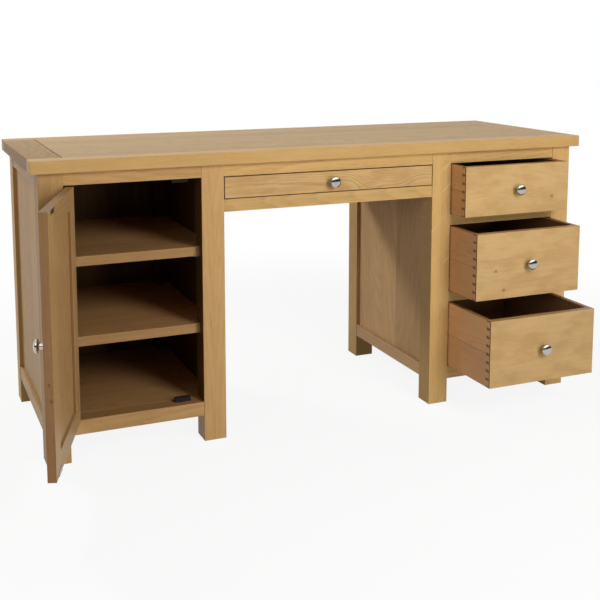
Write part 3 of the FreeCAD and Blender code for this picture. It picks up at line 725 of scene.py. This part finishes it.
for pedestal, kind in PEDESTALS.items():
    shaded_inside = {"inside": ROOMS[pedestal]}
    leg = LEG | shaded_inside | {"palette": kind["palette"]}
    rail = shaded_inside | {"palette": kind["palette"], "tone": kind["rail_shade_tone"]}
    back_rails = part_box(f"{pedestal}_frame_rails")[1].y - BACK_RAIL_THICK
    wood(f"{pedestal}_front_left_leg", UP, RIGHT, flecks=kind["left_flecks"], tone=kind["left_shade_tone"],
         shine=SHADED_SHINE, **leg)
    wood(f"{pedestal}_front_right_leg", UP, RIGHT, flecks=LEG_FLECKS, **leg)
    wood(f"{pedestal}_back_legs", UP, BACK, shine=SHADED_SHINE, **leg)
    wood(f"{pedestal}_frame_rails", BACK, UP, palette=PANEL_OAK, shine=SHADED_SHINE, back_rails=back_rails,
         **shaded_inside)
    wood(f"{pedestal}_side_panels", UP, BACK, **SIDE_PANEL, **shaded_inside)
    wood(f"{pedestal}_back_panel", UP, RIGHT, staves=5, **shaded_inside)
    wood(f"{pedestal}_top_rail", RIGHT, UP, **rail)
    wood(f"{pedestal}_bottom_rail", RIGHT, UP, stain=FLOOR_RAIL_PAINTED_SHADE, **rail)
print(len(boards), "boards with the pedestals")

# %% [markdown]
# ## Rails, shelves and runners
#
# The rails between the drawers and over the kneehole are plain boards. Shelves are veneered, with a paler
# lipping along the front edge. The lipping could be a piece of its own; here the painted shade on the
# veneer just starts behind it.

# %% Oak on rails, shelves and runners
# Painted light: the rails between the drawers have a higher tone, lighter than their shade under the open
# drawers allows.
wood("drawers_dividers", RIGHT, BACK, tone=1.25, inside=ROOMS["drawers"])
for rail in ("kneehole_top_rail", "kneehole_lower_rail", "kneehole_back_rail"):
    wood(rail, RIGHT, UP)

LIPPING = 0.004
# Painted shade: the shelves and the cupboard's floor have tones below 1, darker inside the hardly lit
# cupboard.
SHELVES = (("cupboard_floor", -HAIR, 0.78), ("upper_shelf", LIPPING, 0.90), ("lower_shelf", LIPPING, 0.90))
for shelf, lipping, tone in SHELVES:
    shelf_low, shelf_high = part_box(shelf)
    shaded_veneer = shelf_low + Vector((-HAIR, lipping, -HAIR)), shelf_high + Vector((HAIR, HAIR, HAIR))
    wood(shelf, RIGHT, BACK, staves=4, palette=WARM_OAK, tone=tone, inside=shaded_veneer, stain=SHELF_PAINTED_SHADE)
# Painted shade: the runners have a low tone, dark as in the shade beside the drawers.
wood("drawer_runners", BACK, UP, palette=PLYWOOD, tone=0.5)
print(len(boards), "boards with rails and shelves")

# %% [markdown]
# ## The door
#
# The door stands open, so its boards aren't square to the desk. Its directions come from its hinge: it
# rests as far from shut as the hinge's range says. Two dark knots sit on the edge of one stile.

# %% Oak on the door
HINGE = next(joint for joint in frame["joints"] if joint["name"] == "door_hinge")
SWING = Matrix.Rotation(math.radians(HINGE["range_deg"][0]), 3, "Z")
DOOR_ALONG = SWING @ RIGHT
DOOR_EDGE_KNOTS = (((-0.0775, 0.1735, 0.0), 0.008), ((-0.1135, 0.1735, 0.004), 0.009))

# Painted shade: the door's low tones darken it because its boards stand turned from the light, and sides
# darkens the narrow edges of the stiles.
wood("door_stiles", UP, DOOR_ALONG, palette=WARM_OAK, pith=0.3, tone=0.69, sides=0.6,
     knots=DOOR_EDGE_KNOTS, knot_depth=0.95)
wood("door_rails", DOOR_ALONG, UP, palette=WARM_OAK, tone=0.69)
wood("door_panel", UP, DOOR_ALONG, staves=3, palette=WARM_OAK, pith=0.2, tone=0.72)
print("the door stands", HINGE["range_deg"][0], "degrees from shut")

# %% [markdown]
# ## The drawers
#
# A drawer is a show front with dovetailed sides, a back and a thin base. The fronts are smooth and blotchy,
# with few pores. Two have knots, and the wide one in the centre has arches. Chance could place these, but
# the eye knows a front by such marks, so each has its place, measured from the middle of its front.

# %% How each front looks
SMOOTH_FRONT = {"palette": PALE_OAK, "figure": 0.16, "streaks": 0.14, "pore_depth": 0.16, "blotches": 0.42,
                "knot_depth": 0.62, "ends": 0.9}
# Painted shade: the middle and bottom fronts have lower tones, darker towards the bottom where less light
# falls.
FRONT_LOOK = {
    "top": {"knots": (((0.119, -0.027, 0.010), 0.0105),)},
    "middle": {"tone": 0.885, "knots": (((-0.110, -0.014, 0.010), 0.0105), ((-0.082, -0.070, 0.010), 0.011))},
    "bottom": {"figure": 0.12, "tone": 0.84},
    "centre": {"figure": 0.62, "ring": 0.0040, "pith": 0.05, "tone": 0.925,
               "arches": (((0.120, 0.010, 0.010), 0.020), ((0.195, 0.016, 0.010), 0.020))},
}
DRAWER_SIDE = {"staves": 2, "figure": 0.2, "streaks": 0.2, "pore_depth": 0.25, "glue": (0.0011, 0.8)}
# Painted light: the bottom drawer's sides, which stand out furthest, are made lighter.
BOTTOM_SIDE_PAINTED_LIGHT = 1.20
print(sum(len(look.get("knots", ())) for look in FRONT_LOOK.values()), "knots on the drawer fronts")

# %% [markdown]
# ## Oak on the drawers
#
# All four drawers are made alike, so one loop finishes them. The inside of each, which is darkened with
# painted shade, is found from the boxes of its own front and sides, below a thin rim that stays pale.

# %% Oak on the drawers
SIDE_THICK, PALE_TOP, WALL_OVERLAP, BASE_OVERLAP = 0.013, 0.002, 0.002, 0.02


def drawer_inside(drawer):
    front_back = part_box(f"{drawer}_drawer_front")[1].y
    low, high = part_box(f"{drawer}_drawer_sides")
    return (
        Vector((low.x + SIDE_THICK - WALL_OVERLAP, front_back - HAIR, low.z - BASE_OVERLAP)),
        Vector((high.x - SIDE_THICK + WALL_OVERLAP, high.y, high.z - PALE_TOP)),
    )


for drawer, look in FRONT_LOOK.items():
    shaded_inside = {"inside": drawer_inside(drawer), "stain": DRAWER_PAINTED_SHADE}
    wood(f"{drawer}_drawer_front", RIGHT, UP, **(SMOOTH_FRONT | look))
    side_light_tone = BOTTOM_SIDE_PAINTED_LIGHT if drawer == "bottom" else 1.0
    wood(f"{drawer}_drawer_sides", BACK, UP, palette=DRAWER_OAK, tone=side_light_tone, **DRAWER_SIDE, **shaded_inside)
    wood(f"{drawer}_drawer_back", RIGHT, UP, palette=DRAWER_OAK, **shaded_inside)
    wood(f"{drawer}_drawer_base", RIGHT, BACK, palette=PLYWOOD, pith=0.3, **shaded_inside)
print(len(boards), "pieces of wood")

# %% [markdown]
# ## Soft arrises
#
# Sanding takes the sharpness off every edge, and that thin round catches the light. A CAD mesh is loose
# triangles, so Weld joins them and Decimate dissolves the flat seams before Bevel can run. The modifiers
# stay live: the mesh underneath isn't touched. Dovetails are small, so they are sanded less.

# %% Soften the edges of the boards
WELD, SANDED, DOVETAIL_SANDED = 0.00001, 0.0009, 0.0003
FLAT_WITHIN, ARRIS_FROM, ARRIS_STEPS = math.radians(1), math.radians(35), 2


def soften(piece, width):
    weld = piece.modifiers.new("weld", "WELD")
    weld.merge_threshold = WELD
    flat = piece.modifiers.new("flat", "DECIMATE")
    flat.decimate_type = "DISSOLVE"
    flat.angle_limit = FLAT_WITHIN
    arris = piece.modifiers.new("arris", "BEVEL")
    arris.width = width
    arris.segments = ARRIS_STEPS
    arris.limit_method = "ANGLE"
    arris.angle_limit = ARRIS_FROM
    arris.harden_normals = True


for name in boards:
    dovetailed = name.endswith(("drawer_front", "drawer_sides"))
    soften(NODES[name], DOVETAIL_SANDED if dovetailed else SANDED)
print("softened", len(boards), "boards")

# %% [markdown]
# ## A cloudy skin
#
# Plated metal and moulded plastic are never quite even: the gloss comes and goes in clouds, and fine specks
# show in a raking light. One roughness all over would look too clean. Both effects are noise, at two
# scales, in one group for all the hardware.

# %% Node group: cloudy skin
SKIN_CLOUDS = {"stretch": (1.0, 1.0, 1.0), "seed": 1.0, "detail": 3.0}
SKIN_SPECKS = {"stretch": (9.0, 9.0, 9.0), "seed": 2.0, "detail": 1.0}

tree, given, out = new_group("cloudy_skin", ["Vector"], ["Grain"], ["Clouds", "Specks"])
scaled = move(tree, "SCALE", given["Vector"])
tree.links.new(given["Grain"], scaled.node.inputs["Scale"])
clouds = noise(tree, scaled, **SKIN_CLOUDS)
specks = noise(tree, scaled, **SKIN_SPECKS)
CLOUDY_SKIN = finish_group(tree, out, {"Clouds": clouds, "Specks": specks})

# %% [markdown]
# ## Metal and plastic
#
# Metal takes its look from what it mirrors, so its roughness matters more than its colour; plastic has a
# colour of its own and a weak gloss. Each could have a function of its own. One makes both, because the
# Metallic value tells them apart.

# %% A hard material
HARD_EDGE_REACH, HARD_EDGE_RUBBED, HARD_RELIEF_DEPTH = 0.0006, 0.3, 0.0002


def hard_material(name, dark, pale, metallic, rough, grain, relief, shine=0.5):
    """Metal or plastic with a cloudy colour, uneven gloss and a slight grain."""
    material = bpy.data.materials.new(name)
    material.use_nodes = True
    tree = material.node_tree
    skin = use(tree, CLOUDY_SKIN, {"Vector": object_place(tree), "Grain": grain})
    edge = use(tree, WORN_EDGES, {"Reach": HARD_EDGE_REACH})["Edge"]
    colour = mix(tree, skin["Clouds"], rgba(dark), rgba(pale))
    colour = glaze(tree, colour, edge, HARD_EDGE_RUBBED, rgba(pale))
    bumps = {"Height": skin["Specks"], "Strength": relief, "Distance": HARD_RELIEF_DEPTH}
    shader = connect(tree, colour, between(tree, skin["Clouds"], *rough), bumps, shine)
    shader["Metallic"].default_value = metallic
    return material


print("hard edges are rubbed over", HARD_EDGE_REACH, "m")

# %% [markdown]
# ## Steel, nickel and black plastic
#
# Hinges, plates and pins are steel with a dull zinc skin. The knobs are nickel, smooth enough to mirror the
# room in soft bands. The catches and the pads beside the drawers are black plastic.

# %% Finish the hardware
STEEL = hard_material("zinc_steel", dark=(0.30, 0.295, 0.285), pale=(0.44, 0.43, 0.41), metallic=1.0,
                      rough=(0.30, 0.50), grain=300.0, relief=0.15)
NICKEL = hard_material("satin_nickel", dark=(0.42, 0.40, 0.36), pale=(0.54, 0.52, 0.475), metallic=1.0,
                       rough=(0.14, 0.21), grain=120.0, relief=0.03)
BLACK = hard_material("black_plastic", dark=(0.012, 0.012, 0.013), pale=(0.035, 0.034, 0.034), metallic=0.0,
                      rough=(0.38, 0.60), grain=400.0, relief=0.30, shine=0.08)
FINISH = (
    (STEEL, ("hinge_frame_leaves", "hinge_door_leaves", "hinge_pins", "shelf_pins", "catch_plates")),
    (BLACK, ("door_catches", "drawer_guide_pads")),
)
for material, names in FINISH:
    for name in names:
        cover(name, material)
    print(material.name, "on", len(names), "pieces")

# %% [markdown]
# ## A lathe
#
# Knobs and screw heads are turned on a lathe. An outline could be spun round an axis; here a disc is
# extruded ring by ring, because each ring then has a size that can be read off, and the shape is closed
# from the start.

# %% Turn a piece
SMOOTH_BELOW = math.radians(40)


def deselect_all():
    bpy.ops.object.select_all(action="DESELECT")


def turn_piece(name, rings, sides):
    """A closed turned piece along +Z; rings are (radius, level) pairs from the foot to the crown."""
    deselect_all()
    foot_radius, foot_level = rings[0]
    bpy.ops.mesh.primitive_circle_add(
        vertices=sides, radius=foot_radius, fill_type="NGON", location=(0, 0, foot_level)
    )
    piece = bpy.context.object
    piece.name = name
    bpy.ops.object.transform_apply(location=True, rotation=True, scale=True)
    bpy.ops.object.mode_set(mode="EDIT")
    bpy.ops.mesh.select_all(action="SELECT")
    for (radius, level), (next_radius, next_level) in zip(rings, rings[1:]):
        bpy.ops.mesh.extrude_region_move(TRANSFORM_OT_translate={"value": (0, 0, next_level - level)})
        share = next_radius / radius
        bpy.ops.transform.resize(value=(share, share, 1), center_override=(0, 0, next_level))
    bpy.ops.mesh.select_all(action="SELECT")
    bpy.ops.mesh.normals_make_consistent(inside=False)
    bpy.ops.object.mode_set(mode="OBJECT")
    bpy.ops.object.shade_smooth_by_angle(angle=SMOOTH_BELOW)
    print("turned", name, "with", len(piece.data.polygons), "faces")
    return piece


# %% [markdown]
# ## The knob's outline
#
# A mushroom knob has a flared foot, a hollow neck that swells to the head, a straight rim and a domed
# crown. Flare and swell are powers of the way up the neck, so they meet smoothly; the dome is half an
# ellipse.

# %% Turn the pattern knob
FOOT, WAIST, HEAD = 0.0085, 0.0068, 0.0155
NECK_END, RIM_END, CROWN = 0.0160, 0.0185, 0.0260
RIM_ROUND, CROWN_FLAT = 0.0006, 0.02
FOOT_FLARE, NECK_SWELL = 3, 4
KNOB_SIDES, NECK_STEPS, DOME_STEPS = 64, 9, 10
QUARTER_TURN = math.pi / 2


def knob_rings():
    rings = [(FOOT, 0.0)]
    for step in range(1, NECK_STEPS):
        share = step / NECK_STEPS
        flare = (FOOT - WAIST) * (1 - share) ** FOOT_FLARE
        swell = (HEAD - WAIST) * share**NECK_SWELL
        rings.append((WAIST + flare + swell, NECK_END * math.sin(share * QUARTER_TURN)))
    rings += [(HEAD - RIM_ROUND, NECK_END), (HEAD, NECK_END + RIM_ROUND), (HEAD, RIM_END)]
    for step in range(1, DOME_STEPS):
        turn = step / DOME_STEPS * QUARTER_TURN
        rings.append((HEAD * math.cos(turn), RIM_END + (CROWN - RIM_END) * math.sin(turn)))
    return rings + [(HEAD * CROWN_FLAT, CROWN)]


pattern_knob = turn_piece("knob_pattern", knob_rings(), KNOB_SIDES)

# %% [markdown]
# ## Copies in their places
#
# Knobs and screws are made once and copied, each copy with its own mesh. A copy is turned and moved as an
# object, and then both are applied to the mesh, so that the object stays at the origin.

# %% Set a copy of a piece
def pick(piece):
    deselect_all()
    piece.select_set(True)
    bpy.context.view_layer.objects.active = piece


def set_copy(pattern, name, turn, place):
    pick(pattern)
    bpy.ops.object.duplicate()
    piece = bpy.context.object
    piece.name = name
    piece.matrix_world = Matrix.Translation(place) @ turn.to_4x4()
    pick(piece)
    bpy.ops.object.transform_apply(location=True, rotation=True, scale=True)
    return piece


print("the pattern to copy is", pattern_knob.name)

# %% [markdown]
# ## Five knobs from one
#
# The four drawers and the door have the same knob. Each copy faces out of its drawer or door, and its foot
# is set where the foot of the plain knob is, which it replaces.

# %% Set the knobs
LAID_FORWARD = Matrix.Rotation(math.radians(90), 3, "X")


def knob_seat(node, outward, sideways):
    """The middle of the plain knob's foot."""
    corners = [vertex.co for vertex in NODES[node].data.vertices]
    reach = [corner.dot(outward) for corner in corners]
    aside = [corner.dot(sideways) for corner in corners]
    rise = [corner.z for corner in corners]
    return outward * min(reach) + sideways * (min(aside) + max(aside)) / 2 + UP * (min(rise) + max(rise)) / 2


for node in [name for name in NODES if name.endswith("_knob")]:
    swing = SWING if BODY_OF[node] == "door" else Matrix.Identity(3)
    seat = knob_seat(node, swing @ -BACK, swing @ RIGHT)
    knob = set_copy(pattern_knob, node.replace("_knob", "_turned_knob"), swing @ LAID_FORWARD, seat)
    knob.data.materials.append(NICKEL)
    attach(knob, BODY_OF[node])
    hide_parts(node)
    print(knob.name, [round(value, 4) for value in seat])
bpy.data.objects.remove(pattern_knob)

# %% [markdown]
# ## Cutting with a Boolean
#
# A slot in a screw is a cut, and a Boolean makes it as a cutter would. It could be inset and pushed in face
# by face, but the Boolean leaves the floor of the slot flat.

# %% Cut a piece
def cut_away(piece, cutter):
    cut = piece.modifiers.new("cut", "BOOLEAN")
    cut.operation = "DIFFERENCE"
    cut.solver = "EXACT"
    cut.object = cutter
    pick(piece)
    bpy.ops.object.modifier_apply(modifier=cut.name)
    bpy.data.objects.remove(cutter)


print("cuts use a Boolean")

# %% [markdown]
# ## A screw head
#
# Each leaf of a butt hinge is held by three countersunk screws with a cross slot. Their heads lie almost
# flush, or the door wouldn't shut. The head is turned like the knob, and two crossed bars cut it.

# %% Make the pattern screw
HEAD_RADIUS, HEAD_RISE, SCREW_SIDES = 0.0026, 0.00030, 32
HEAD_TAPER, TAPER_FROM = 0.9, 0.4
SLOT_WIDE, SLOT_LONG, SLOT_FLOOR = 0.0007, 0.0032, 0.00008
SCREW_SMOOTH_BELOW = math.radians(30)


def slot_bar(name, size_x, size_y):
    deselect_all()
    bpy.ops.mesh.primitive_cube_add(size=1, location=(0, 0, SLOT_FLOOR + HEAD_RISE))
    bar = bpy.context.object
    bar.name = name
    bar.scale = (size_x, size_y, HEAD_RISE * 2)
    bpy.ops.object.transform_apply(location=True, rotation=True, scale=True)
    return bar


head_rings = [
    (HEAD_RADIUS, 0.0), (HEAD_RADIUS, HEAD_RISE * TAPER_FROM), (HEAD_RADIUS * HEAD_TAPER, HEAD_RISE)
]
pattern_screw = turn_piece("screw_pattern", head_rings, SCREW_SIDES)
cut_away(pattern_screw, slot_bar("slot_across", SLOT_LONG, SLOT_WIDE))
cut_away(pattern_screw, slot_bar("slot_upright", SLOT_WIDE, SLOT_LONG))
bpy.ops.object.shade_smooth_by_angle(angle=SCREW_SMOOTH_BELOW)
print("the screw has", len(pattern_screw.data.polygons), "faces")

# %% [markdown]
# ## Screws in the hinges
#
# There are two hinges, each with a leaf on the frame and a leaf on the door, so twelve screws. The door's
# points are first turned back to the shut door, where a leaf is square to the desk and its face is easy to
# find.

# %% Set the screws
LEAF_RUN, LEAF_HEIGHT = 0.0085, 0.063
SCREW_UP = (0.010, 0.0315, 0.053)
TO_RIGHT = Matrix.Rotation(math.radians(90), 3, "Y")
TO_LEFT = Matrix.Rotation(math.radians(-90), 3, "Y")
LEAVES = (
    ("hinge_frame_leaves", Matrix.Identity(3), TO_RIGHT, 1),
    ("hinge_door_leaves", SWING, TO_LEFT, -1),
)
for node, swing, laid, side in LEAVES:
    points = [swing.transposed() @ vertex.co for vertex in NODES[node].data.vertices]
    deep = max(point.y for point in points)
    leaf = [point for point in points if point.y > deep - LEAF_RUN]
    face = max(point.x * side for point in leaf) * side
    lowest = min(point.z for point in points)
    highest = max(point.z for point in points)
    for hinge_number, hinge_foot in enumerate((lowest, highest - LEAF_HEIGHT)):
        for screw_number, rise in enumerate(SCREW_UP):
            seat = swing @ Vector((face, deep - LEAF_RUN, hinge_foot + rise))
            name = f"{node}_screw_{hinge_number}_{screw_number}"
            screw = set_copy(pattern_screw, name, swing @ laid, seat)
            screw.data.materials.append(STEEL)
            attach(screw, BODY_OF[node])
    print(node, "screwed at", [round(value, 4) for value in seat])
bpy.data.objects.remove(pattern_screw)

# %% [markdown]
# ## The floor
#
# The desk stands on a pale floor that runs into the background. Light enough to whiten the floor would burn
# out the desk, so it glows for the eye and for reflections only, and bounced light sees a duller floor.
# Near the desk a share of the dull floor shows, and keeps the desk's shadow.

# %% Lay the floor
FLOOR_SIZE, FLOOR_FADE, WHITE = 24.0, (1.0, 2.2), (1, 1, 1, 1)
FLOOR_BOUNCE, FLOOR_PALE, SHADE_KEPT = (0.50, 0.49, 0.475, 1), (0.95, 0.95, 0.945, 1), 0.11


def seen_directly(tree):
    """1 for rays from the camera, from gloss and through glass; 0 for light bounced off dull surfaces."""
    rays = tree.nodes.new("ShaderNodeLightPath").outputs
    shiny = calc(tree, "MAXIMUM", rays["Is Glossy Ray"], rays["Is Transmission Ray"])
    return calc(tree, "MAXIMUM", rays["Is Camera Ray"], shiny)


def floor_finish():
    material = bpy.data.materials.new("studio_floor")
    material.use_nodes = True
    tree = material.node_tree
    tree.nodes.remove(tree.nodes["Principled BSDF"])
    direct = seen_directly(tree)
    near = inverse(tree, fade(tree, length(tree, object_place(tree)), *FLOOR_FADE))
    dull = add(tree, "ShaderNodeBsdfDiffuse", {"Color": mix(tree, direct, FLOOR_BOUNCE, FLOOR_PALE)})
    glow = add(tree, "ShaderNodeEmission", {"Color": WHITE, "Strength": 1.0})
    glowing = times(tree, direct, inverse(tree, times(tree, near, SHADE_KEPT)))
    joined = add(tree, "ShaderNodeMixShader", {0: glowing, 1: dull.outputs[0], 2: glow.outputs[0]})
    tree.links.new(joined.outputs[0], tree.nodes["Material Output"].inputs["Surface"])
    return material


deselect_all()
bpy.ops.mesh.primitive_plane_add(size=FLOOR_SIZE)
floor = bpy.context.object
floor.name = "studio_floor"
floor.data.materials.append(floor_finish())
print("the floor is", FLOOR_SIZE, "m wide")

# %% [markdown]
# ## The room
#
# The room is white to the eye and dim for bounced light, as the floor is. Polished knobs need more than
# white to look like metal, so glossy rays towards the front meet a dark band near the horizon and a bright
# strip above it, as from a strip light in a dark studio.

# %% Light the room
ROOM_BOUNCE = 0.08
DARK_SIDE, DARK_BAND, DARK_SHARE = (-0.35, 0.10), (0.34, 0.54), 0.95
STRIP_SIDE, STRIP_BAND, STRIP_GLOW = (0.10, 0.50), (0.42, 0.60), 1.6

world = bpy.data.worlds.new("studio")
world.use_nodes = True
bpy.context.scene.world = world
tree = world.node_tree
looking = parts(tree, tree.nodes.new("ShaderNodeTexCoord").outputs["Generated"])
forward = times(tree, looking[1], -1.0)
glossy = tree.nodes.new("ShaderNodeLightPath").outputs["Is Glossy Ray"]
low_down = inverse(tree, fade(tree, looking[2], *DARK_BAND))
dark = times(tree, fade(tree, forward, *DARK_SIDE), low_down)
dark = times(tree, dark, glossy)
strip = times(tree, fade(tree, forward, *STRIP_SIDE), fade(tree, looking[2], *STRIP_BAND))
strip = times(tree, strip, glossy)
room_seen = between(tree, dark, 1.0, 1.0 - DARK_SHARE)
room_seen = calc(tree, "MULTIPLY_ADD", strip, STRIP_GLOW, room_seen)
strength = between(tree, seen_directly(tree), ROOM_BOUNCE, room_seen)
tree.links.new(strength, tree.nodes["Background"].inputs["Strength"])
tree.nodes["Background"].inputs["Color"].default_value = WHITE
print("the room has", len(tree.nodes), "nodes")

# %% [markdown]
# ## Lamps
#
# The main lamp is high, in front and to the right, and leaves the cupboard's depth in shade. One at drawer
# height reaches the rails between the open drawers, and a small one behind on the left throws the slanting
# shadow in the kneehole. Weak, large ones lift both sides and the top.

# %% Hang the lamps
DESK_MIDDLE = Vector((0, -0.26, 0.45))


def softbox(name, place, size, level, mirrored=False):
    """A square lamp aimed at the desk; at level 1 a white card held towards it there looks just white."""
    ray = Vector(place) - DESK_MIDDLE
    deselect_all()
    bpy.ops.object.light_add(type="AREA", location=place)
    lamp = bpy.context.object
    lamp.name = name
    lamp.rotation_euler = (-ray).to_track_quat("-Z", "Y").to_euler()
    lamp.data.size = size
    lamp.visible_camera = False
    lamp.visible_glossy = mirrored
    lamp.data.energy = level * math.pi**2 * ray.length_squared
    print(name, "watts", round(lamp.data.energy))


softbox("right_lamp", place=(0.5, -2.3, 1.60), size=0.8, level=0.43)
softbox("low_lamp", place=(0.85, -3.0, 0.58), size=1.1, level=0.285)
softbox("left_lamp", place=(-3.0, -2.2, 1.4), size=1.4, level=0.175)
softbox("back_lamp", place=(-1.45, 1.77, 1.85), size=0.4, level=0.36)
softbox("side_lamp", place=(3.2, 0.2, 1.2), size=1.4, level=0.13)
softbox("top_lamp", place=(0.1, 0.5, 2.7), size=1.4, level=0.06, mirrored=True)

# %% [markdown]
# ## Camera
#
# The camera stands to the left of the desk, a little above its top. Tilting it far down would make the legs
# lean, so it looks nearly level and the lens is shifted instead, as a furniture photographer does.

# %% Set the camera
EYE = Vector((-1.1218, -2.6884, 1.0702))
YAW, PITCH, LENS, LENS_SHIFT = 22.907, 7.655, 59.91, -0.22

deselect_all()
bpy.ops.object.camera_add(location=EYE, rotation=(math.radians(90 - PITCH), 0, math.radians(-YAW)))
camera = bpy.context.object
camera.data.lens = LENS
camera.data.shift_y = LENS_SHIFT
camera.data.dof.use_dof = False
bpy.context.scene.camera = camera
bpy.context.scene.view_settings.view_transform = "Standard"
print("the camera stands at", [round(value, 3) for value in camera.location])
